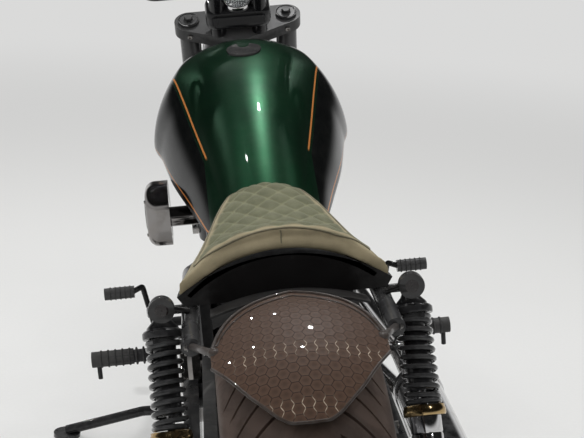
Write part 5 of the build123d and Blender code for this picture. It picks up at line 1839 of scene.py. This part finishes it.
@dataclass
class Lamps:
    """The headlamp's glass, reflector and rim, and the dark lenses of the four signals."""

    front: Point = (0, 1.590, 0.812)
    rear_signal: Point = (0.192, 0.102, 0.648)
    front_signal: Point = (0.181, 1.491, 0.665)
    lens_r: float = 0.0158
    sunk: float = 0.0028
    lens_steps: int = 5

    def before(self, name: str, profile: Profile, sides: int, ring: bool = False) -> Piece:
        """A round part of the headlamp, measured forward from its face."""
        return turned(name, profile, spot(*self.front), -BACK, sides, ring)

    def headlamp(self) -> None:
        """A fluted glass over a bright dish with a bulb shield, held by a chrome rim."""
        glass = self.before("headlamp_glass", [
            (0, 0.0100), (0.030, 0.0096), (0.055, 0.0085), (0.072, 0.0073), (0.0795, 0.0062), (0.0795, 0.0048),
            (0.072, 0.0058), (0.055, 0.0070), (0.030, 0.0081), (0, 0.0085)], 72)
        chrome = [
            self.before("headlamp_dish", [
                (0.010, 0.0006), (0.040, 0.0014), (0.070, 0.0034), (0.0792, 0.0052), (0.0792, 0.0001),
                (0.010, 0.0001)], 72, True),
            self.before("bulb_shield", [(0, 0.0062), (0.009, 0.0052), (0.012, 0.0030), (0.0125, 0.0003),
                                        (0, 0.0003)], 32),
            self.before("headlamp_rim", [
                (0.0795, -0.001), (0.0797, 0.0066), (0.0825, 0.0086), (0.0862, 0.0070), (0.0886, 0.0010),
                (0.0888, -0.0120), (0.0878, -0.0120)], 96, True)]
        settle(glass, Body.STEERING, LAMP_GLASS, ["headlamp_lens"])
        settle(joined("headlamp_chrome", chrome), Body.STEERING, CHROME)

    def signals(self, end: str, at: Point, way: Vector, body: Body) -> None:
        """A pair of domed lenses with stepped rings, and their bezels.

        Args:
            end: The machine's end, for the pieces' names.
            at: The left lens's place.
            way: Where it looks.
            body: What it rides on.
        """
        place = spot(*at) - way * self.sunk
        profile = [(0, 0.0042)]
        for i in range(self.lens_steps):
            radius = 0.0030 * i + 0.001
            rise = 0.0040 - 0.0026 * (radius / self.lens_r) ** 2
            profile += [(radius, rise), (radius + 0.0016, rise - 0.0005)]
        profile += [(self.lens_r, 0.0008), (self.lens_r, -0.0020), (0, -0.0020)]
        ring = [(0.0157, -0.0020), (0.0157, 0.0012), (0.0174, 0.0024), (0.0194, 0.0014), (0.0202, -0.0010),
                (0.0202, -0.0060), (0.0190, -0.0060)]
        settle(mirrored(turned(f"{end}_signal_lenses", profile, place, way, 36)), body, SMOKED_LENS)
        settle(mirrored(turned(f"{end}_signal_rings", ring, place, way, 40, True)), body, SIGNAL_SHELL)

    def build(self) -> None:
        """Makes the headlamp's parts and the signals' lenses."""
        self.headlamp()
        self.signals("rear", self.rear_signal, BACK, Body.CHASSIS)
        self.signals("front", self.front_signal, -BACK, Body.STEERING)


@dataclass
class Running:
    """Small parts of the chassis and wheels: muffler ends, bands, peg and pedal ribs, disc carriers, valves."""

    muffler_left: float = -0.252
    # each muffler's height, and its outlet and band, ahead of the rear axle
    mufflers: Sequence[Point] = ((0.306, -0.170, 0.470), (0.206, -0.060, 0.390))
    # each row of rubber rings: name, radius, thickness, first ring, gap, rings and sides
    rubbers: Sequence[tuple[str, float, float, Point, float, int, int]] = (
        ("peg_rib", 0.0170, 0.0022, (0.262, 0.873, 0.282), 0.0152, 8, 32),
        ("pad_rib", 0.0126, 0.0017, (0.292, 0.888, 0.422), 0.0105, 5, 28))
    front_carrier: Pair = (0.0771, 0.088)   # left of the middle, and mean radius
    rear_carrier: Pair = (-0.1231, 0.080)
    lobe: float = 0.0075
    lobes: int = 10
    front_valve: float = 0.233              # from the axle
    rear_valve: float = 0.222
    valve_turn: float = 0.42

    def muffler_ends(self) -> None:
        """Rolled ends, baffles inside the outlets and the bands that clamp the pipes."""
        bright, dark = [], []
        for up, end, clamp in self.mufflers:
            tip, band = spot(self.muffler_left, end, up), spot(self.muffler_left, clamp, up)
            bright.append(turned("rolled_end", [
                (0.0368, -0.0100), (0.0368, -0.0010), (0.0385, 0.0002), (0.0420, 0.0003), (0.0450, -0.0010),
                (0.0456, -0.0060), (0.0446, -0.0110), (0.0438, -0.0110)], tip, BACK, 56, True))
            dark.append(turned("baffle", [
                (0.0366, -0.0700), (0.0200, -0.0560), (0.0175, -0.0570), (0.0175, -0.0860), (0.0366, -0.0860)],
                tip, BACK, 48, True))
            bright.append(turned("muffler_band", [
                (0.0442, -0.009), (0.0460, -0.009), (0.0466, -0.006), (0.0466, 0.006), (0.0460, 0.009),
                (0.0442, 0.009)], band, BACK, 56, True))
            lug = band + Vector((-0.0030, 0, -0.0500))
            bright.append(block("band_lug", (0.014, 0.016, 0.011), 0.0015, Matrix.Translation(lug)))
        settle(joined("muffler_trim", bright), Body.CHASSIS, CHROME)
        settle(joined("muffler_baffles", dark), Body.CHASSIS, CALIPER_COAT)

    def ribs(self) -> None:
        """Rubber rings on the rider's pegs and on both foot levers."""
        rings = [round_ring(name, radius, thick, spot(*first) + OUT * gap * i, OUT, sides)
                 for name, radius, thick, first, gap, count, sides in self.rubbers for i in range(count)]
        settle(mirrored(joined("peg_and_pedal_ribs", rings)), Body.CHASSIS, SOFT)

    def carriers(self, name: str, body: Body, places: Sequence[Vector], size: float) -> None:
        """The dark lobed carriers that hold a wheel's discs.

        Args:
            name: The piece's name.
            body: The wheel.
            places: The middle of each carrier's inner face.
            size: Its mean radius.
        """
        made = []
        for place in places:
            radii = [(size + self.lobe * math.cos(self.lobes * turn), turn)
                     for turn in (math.tau * i / 120 for i in range(120))]
            outline = [(radius * math.cos(turn), radius * math.sin(turn)) for radius, turn in radii]
            placing = Matrix.Translation(place) @ facing(Vector(), OUT * math.copysign(1, place.x))
            flat = prism("carrier", outline, 0.0016, placing @ Matrix.Rotation(math.radians(-10), 4, "Z"))
            made.append(modified(flat, "BEVEL", width=0.0005, segments=2, limit_method="ANGLE"))
        settle(joined(name, made), body, RIM_COAT)

    def valve(self, name: str, body: Body, centre: Vector, seat: float) -> None:
        """A valve stem through a rim, at a distance from the axle.

        Args:
            name: The piece's name.
            body: The wheel.
            centre: The middle of its axle.
            seat: The distance.
        """
        way = Vector((0, -math.sin(self.valve_turn), -math.cos(self.valve_turn)))
        stem = turned(name, [
            (0, -0.030), (0.0028, -0.030), (0.0032, -0.026), (0.0042, -0.024), (0.0042, -0.012), (0.0050, -0.011),
            (0.0056, 0.0), (0, 0.0)], centre + way * seat, way, 16)
        settle(stem, body, BOLT_STEEL)

    def build(self) -> None:
        """Makes them all."""
        self.muffler_ends()
        self.ribs()
        (left, size), (right, rear_size) = self.front_carrier, self.rear_carrier
        self.carriers("front_disc_carriers", Body.FRONT_WHEEL, [FRONT_AXLE + OUT * x for x in (-left, left)], size)
        self.carriers("rear_disc_carrier", Body.REAR_WHEEL, [REAR_AXLE + OUT * right], rear_size)
        self.valve("rear_valve", Body.REAR_WHEEL, REAR_AXLE, self.rear_valve)
        self.valve("front_valve", Body.FRONT_WHEEL, FRONT_AXLE, self.front_valve)


class Head(Enum):
    """The heads of the machine's fasteners, each a profile in radii and a number of sides."""

    SOCKET = (((0, 0.35), (0.52, 0.35), (0.56, 0.95), (0.90, 1.0), (1.0, 0.88), (1.0, -0.05), (0, -0.05)), 10)
    HEX = (((0, 0.78), (0.86, 0.78), (1.0, 0.66), (1.0, 0.12), (1.25, 0.10), (1.25, -0.05), (0, -0.05)), 6)
    BUTTON = (((0, 0.22), (0.45, 0.22), (0.50, 0.50), (0.78, 0.36), (1.0, 0.0), (0, -0.05)), 12)


@dataclass(frozen=True)
class BoltRing:
    """Fasteners on a circle of a node's face that looks along x."""

    body: Body
    node: str
    sides: Sequence[int]
    centre: Pair
    radius: float
    first: float
    count: int
    size: float = 0.005
    head: Head = Head.SOCKET
    sweep: float = 360.0
    flat: float = 0.8           # how straight a face has to look sideways

    def seats(self) -> list[Seat]:
        """Where the heads sit, the way they look and their size; a place that misses the flat face has none.

        Returns:
            The seats.
        """
        found = []
        steps = self.count if self.sweep == 360.0 else self.count - 1
        for side in self.sides:
            for i in range(self.count):
                turn = math.radians(self.first + self.sweep * i / steps)
                start = spot(OUTSIDE * side, self.centre[0] + self.radius * math.sin(turn),
                             self.centre[1] + self.radius * math.cos(turn))
                seat = landed(self.node, start, OUT * -side)
                if seat and abs(seat[1].x) > self.flat:
                    found.append((seat[0], OUT * side, self.size))
        return found


def corners(across: float, along: float) -> list[Pair]:
    """The four corners of a rectangle about nought, given by half its sides."""
    return [(x, y) for x in (-across, across) for y in (-along, along)]


BOTH = (1, -1)
DISC_CENTRE = (WHEELBASE, FRONT_AXLE_Z)


@dataclass
class Fasteners:
    """The bolts and nuts of the machine, sown from tables and joined body by body."""

    rings: Sequence[BoltRing] = (
        BoltRing(Body.CHASSIS, "primary_cover", (1,), CRANK, 0.110, -30, 8, sweep=240),
        BoltRing(Body.CHASSIS, "primary_cover", (1,), (0.690, 0.290), 0.084, 170, 6, sweep=200),
        BoltRing(Body.CHASSIS, "gear_cover", (-1,), GEAR_COVER, 0.080, 0, 8),
        BoltRing(Body.CHASSIS, "side_covers", BOTH, (0.540, 0.487), 0.050, 20, 4, 0.0045, Head.BUTTON),
        BoltRing(Body.CHASSIS, "intake_cover", (1,), INTAKE, 0.050, 45, 4, 0.0042, Head.BUTTON),
        BoltRing(Body.CHASSIS, "rear_caliper", (-1,), (0.118, 0.381), 0.030, 35, 2, 0.006),
        BoltRing(Body.REAR_WHEEL, "rear_disc", (-1,), (0.0, REAR_TYRE_R), 0.058, 0, 5, 0.006),
        BoltRing(Body.REAR_WHEEL, "rear_pulley", (1,), (0.0, REAR_TYRE_R), 0.060, 20, 5, 0.0065),
        BoltRing(Body.FRONT_WHEEL, "front_discs", BOTH, DISC_CENTRE, 0.040, 0, 5, 0.0055),
        BoltRing(Body.FRONT_WHEEL, "front_discs", BOTH, DISC_CENTRE, 0.0935, 10, 10, 0.0065, Head.BUTTON),
        BoltRing(Body.STEERING, "front_calipers", BOTH, (1.583, 0.371), 0.032, 40, 2, 0.006))
    rocker_top: float = 0.428       # above both heads, along a cylinder from the crank
    rocker_bolts: Pair = (0.046, 0.034)     # across and along the head
    rocker_size: float = 0.0055
    adjuster: Point = (0.172, -0.3, 0.0065)     # left of the middle, ahead of the rear axle, and size
    strut_bolt: Pair = (0.156, 0.006)   # left of the middle, and size
    pinch: Point = (-0.10, -0.015, 0.0055)  # ahead of the steering axis, up along it, and size
    bar_clamp: Pair = (0.048, 0.0042)   # left of the middle, and size
    bar_bolts: Pair = (0.011, 0.014)    # across and ahead of a clamp's middle
    cap_size: float = 0.0105

    def sown(self, name: str, head: Head, seats: Sequence[Seat]) -> Piece:
        """Copies of one head at their seats, as one piece.

        Args:
            name: The piece's name.
            head: What is copied.
            seats: Where the copies go.

        Returns:
            The piece.
        """
        profile, sides = head.value
        model = turned("bolt_head", profile, Vector(), UP, sides)
        made = [twin_at(model, facing(place, way) @ Matrix.Scale(size, 4)) for place, way, size in seats]
        bpy.data.objects.remove(model)
        return joined(name, made)

    def rocker_seats(self) -> list[Seat]:
        """Four bolts on top of each rocker cover.

        Returns:
            Their seats.
        """
        seats = []
        for axis in (crank_way(-VEE), crank_way(VEE)):
            along = Vector((0, -axis.z, axis.y))
            high = spot(0, *CRANK) + axis * self.rocker_top
            for across, forth in corners(*self.rocker_bolts):
                seat = landed("cylinder_heads", high + along * forth + OUT * across, -axis)
                if seat:
                    seats.append((seat[0], axis, self.rocker_size))
        return seats

    def arm_seats(self) -> list[Seat]:
        """The belt adjusters' nuts at the ends of the swingarm and the bolts of the seat struts.

        Returns:
            Their seats.
        """
        seats = []
        (left, ahead, size), (strut_left, strut_size) = self.adjuster, self.strut_bolt
        for side in (-1, 1):
            seat = landed("swingarm", spot(side * left, ahead, REAR_TYRE_R), -BACK)
            if seat:
                seats.append((seat[0], BACK, size))
            seats.append((spot(side * strut_left, *STRUT_EYE), OUT * side, strut_size))
        return seats

    def clamp_seats(self) -> list[Seat]:
        """Pinch bolts behind the fork legs and the bar clamps' four bolts.

        Returns:
            Their seats.
        """
        seats = []
        (behind, low, pinch_size), (left, size) = self.pinch, self.bar_clamp
        for side in (-1, 1):
            seat = landed("triple_clamps", clamp_spot(side * FORK_LEFT, behind, low), FORK_AHEAD)
            if seat:
                seats.append((seat[0], -FORK_AHEAD, pinch_size))
            for across, ahead in corners(*self.bar_bolts):
                seat = landed("handlebar", clamp_spot(side * left + across, ahead, 0.25), -FORK_UP)
                if seat:
                    seats.append((seat[0], FORK_UP, size))
        return seats

    def build(self) -> None:
        """Sows every fastener and ties each lot to its body."""
        lots: dict[tuple[Body, Head], list[Seat]] = {}
        for ring in self.rings:
            lots.setdefault((ring.body, ring.head), []).extend(ring.seats())
        lots[Body.CHASSIS, Head.SOCKET] += self.rocker_seats()
        lots[Body.STEERING, Head.SOCKET] += self.clamp_seats()
        lots[Body.CHASSIS, Head.HEX] = self.arm_seats()
        lots[Body.STEERING, Head.HEX] = [(clamp_spot(side * FORK_LEFT, *FORK_CAP), FORK_UP, self.cap_size)
                                         for side in (-1, 1)]
        for (body, head), seats in lots.items():
            dark = body is Body.STEERING and head is Head.HEX
            piece = self.sown(f"{body.value}_{head.name.lower()}_bolts", head, seats)
            settle(piece, body, CLAMP_BLACK if dark else BOLT_STEEL)


@dataclass
class Studio:
    """The pale floor, the soft lamps and the camera at the photograph's angle."""

    camera_at: Point = (0.2756, 1.7711, 1.2792)
    yaw: float = -5.7
    pitch: float = -15.2
    roll: float = 3.6
    focal: float = 1303.0
    width: float = 584.0
    film: float = 36.0
    aim: Point = (0.0, 0.0, 0.5)
    pale: Colour = (0.70, 0.70, 0.695)
    floor: Colour = (0.48, 0.48, 0.475)
    lift: Colour = (0.30, 0.30, 0.295)
    black: Colour = (0.0, 0.0, 0.0)
    ceiling: float = 0.02
    fill: float = 0.30
    # name, place, size and power
    soft_boxes: Sequence[tuple[str, Point, Pair, float]] = (
        ("over", (0.2, -0.4, 3.4), (2.6, 2.6), 34.0), ("left", (2.8, 1.2, 2.0), (2.0, 1.6), 26.0),
        ("right", (-2.8, 0.6, 1.8), (2.0, 1.6), 18.0), ("behind", (0.4, 3.6, 2.6), (2.4, 1.6), 34.0))
    # x, y, size and power
    hall: Sequence[tuple[float, float, float, float]] = (
        (-0.11, -1.91, 0.09, 54.0), (0.21, -0.69, 0.04, 4.0), (1.48, -1.34, 0.05, 5.0), (0.72, -4.03, 0.05, 5.0),
        (-2.11, -3.34, 0.07, 9.0), (1.44, -4.41, 0.05, 6.0), (3.82, -3.51, 0.08, 12.0), (2.3, -1.09, 0.05, 5.0),
        (-2.7, -1.2, 0.06, 8.0), (1.6, 2.4, 0.06, 6.0), (-1.6, 2.6, 0.06, 6.0))
    hall_up: float = 4.3

    def camera(self) -> None:
        """Sets the camera up behind the tail, a little to the left, looking down."""
        yaw, pitch, roll = (math.radians(value) for value in (self.yaw, self.pitch, self.roll))
        look = Vector((math.sin(yaw) * math.cos(pitch), -math.cos(yaw) * math.cos(pitch), math.sin(pitch)))
        level = look.cross(UP).normalized()
        over = level.cross(look)
        right = level * math.cos(roll) + over * math.sin(roll)
        up = over * math.cos(roll) - level * math.sin(roll)
        clear_selection()
        bpy.ops.object.camera_add(location=PARKED.translation + Vector(self.camera_at))
        camera = bpy.context.object
        camera.name = "photo_camera"
        camera.rotation_euler = Matrix((right, up, -look)).transposed().to_euler()
        camera.data.sensor_width = self.film
        camera.data.lens = self.focal / self.width * self.film
        camera.data.clip_end = 100.0
        bpy.context.scene.camera = camera

    def lamp(self, name: str, at: Point, size: Pair, power: float, shows: bool) -> None:
        """One area lamp, turned to the machine.

        Args:
            name: What it is called, after lamp_.
            at: Its place.
            size: Its width and height.
            power: Its power in watts.
            shows: Whether glossy surfaces mirror it.
        """
        clear_selection()
        bpy.ops.object.light_add(type="AREA", location=at)
        lamp = bpy.context.object
        lamp.name = f"lamp_{name}"
        lamp.data.shape = "RECTANGLE"
        lamp.data.size, lamp.data.size_y = size
        lamp.data.energy = power
        lamp.visible_glossy = shows
        lamp.rotation_euler = (Vector(self.aim) - Vector(at)).to_track_quat("-Z", "Y").to_euler()

    def lamps(self) -> None:
        """Soft boxes that shape the forms, and small hall lamps that show as points in paint and chrome."""
        for name, at, size, power in self.soft_boxes:
            self.lamp(name, at, size, power, False)
        for number, (across, along, size, power) in enumerate(self.hall):
            self.lamp(f"hall_{number}", (across, along, self.hall_up), (size, size), power, True)

    def seen(self, recipe: Recipe) -> Value:
        """One where the camera looks, straight, in a mirror or through glass, nought for light on the object.

        Args:
            recipe: The tree that it is for.

        Returns:
            The value.
        """
        path = recipe.add("ShaderNodeLightPath").outputs
        rays = [Value(recipe, path[f"Is {kind} Ray"]) for kind in ("Camera", "Glossy", "Transmission")]
        return rays[0].most(rays[1]).most(rays[2])

    def world(self) -> None:
        """A pale wall below a dark ceiling."""
        world = bpy.data.worlds.new("studio")
        world.use_nodes = True
        bpy.context.scene.world = world
        recipe = Recipe(world.node_tree)
        back = world.node_tree.nodes["Background"]
        seen = self.seen(recipe)
        up = recipe.axes(recipe.out("ShaderNodeTexCoord", output="Generated"))[2]
        wall = up.band(0.02, 0.22, 1.0, self.ceiling, smooth=True)
        recipe.feed(back.inputs["Color"], (*self.pale, 1.0))
        recipe.feed(back.inputs["Strength"], seen * wall + (1.0 - seen) * self.fill)

    def ground(self) -> None:
        """A wide matt floor, which fades into the wall."""
        clear_selection()
        bpy.ops.mesh.primitive_grid_add(x_subdivisions=12, y_subdivisions=12, size=60)
        floor = set_down(named("studio_floor"), Matrix.Translation((0, 0, -0.0005)))
        matt = MaterialRecipe("floor_matt")
        tone = matt.blend(matt.noise(matt.place, 120.0).band(0.3, 0.7), scaled(self.floor, 0.97), self.floor)
        x, y, _ = matt.axes(matt.place)
        away = matt.math("SQRT", x * x + y * y).band(1.2, 7.0, smooth=True)
        glow = matt.blend(self.seen(matt), self.black, matt.blend(away, self.lift, self.pale))
        matt.set(Base_Color=matt.blend(away, tone, self.black), Roughness=1.0, Specular_IOR_Level=0.0,
                 Emission_Color=glow, Emission_Strength=1.0)
        floor.data.materials.append(matt.material)

    def build(self) -> None:
        """Builds the studio and keeps colours plain."""
        self.camera()
        self.lamps()
        self.world()
        self.ground()
        bpy.context.scene.view_settings.view_transform = "Standard"


def main() -> None:
    """Builds the studio, then dresses the machine piece by piece."""
    logging.basicConfig(level=logging.INFO, format="%(message)s")
    Studio().build()
    CarriedNodes().dress()
    for part in (SoloSeat(), FuelTank(), RearFender(), *TYRES, Shocks(), EngineTrim(), Cockpit(), Lamps(), Running(),
                 Fasteners()):
        log.info("Building %s", type(part).__name__)
        part.build()


if __name__ == "__main__":
    main()
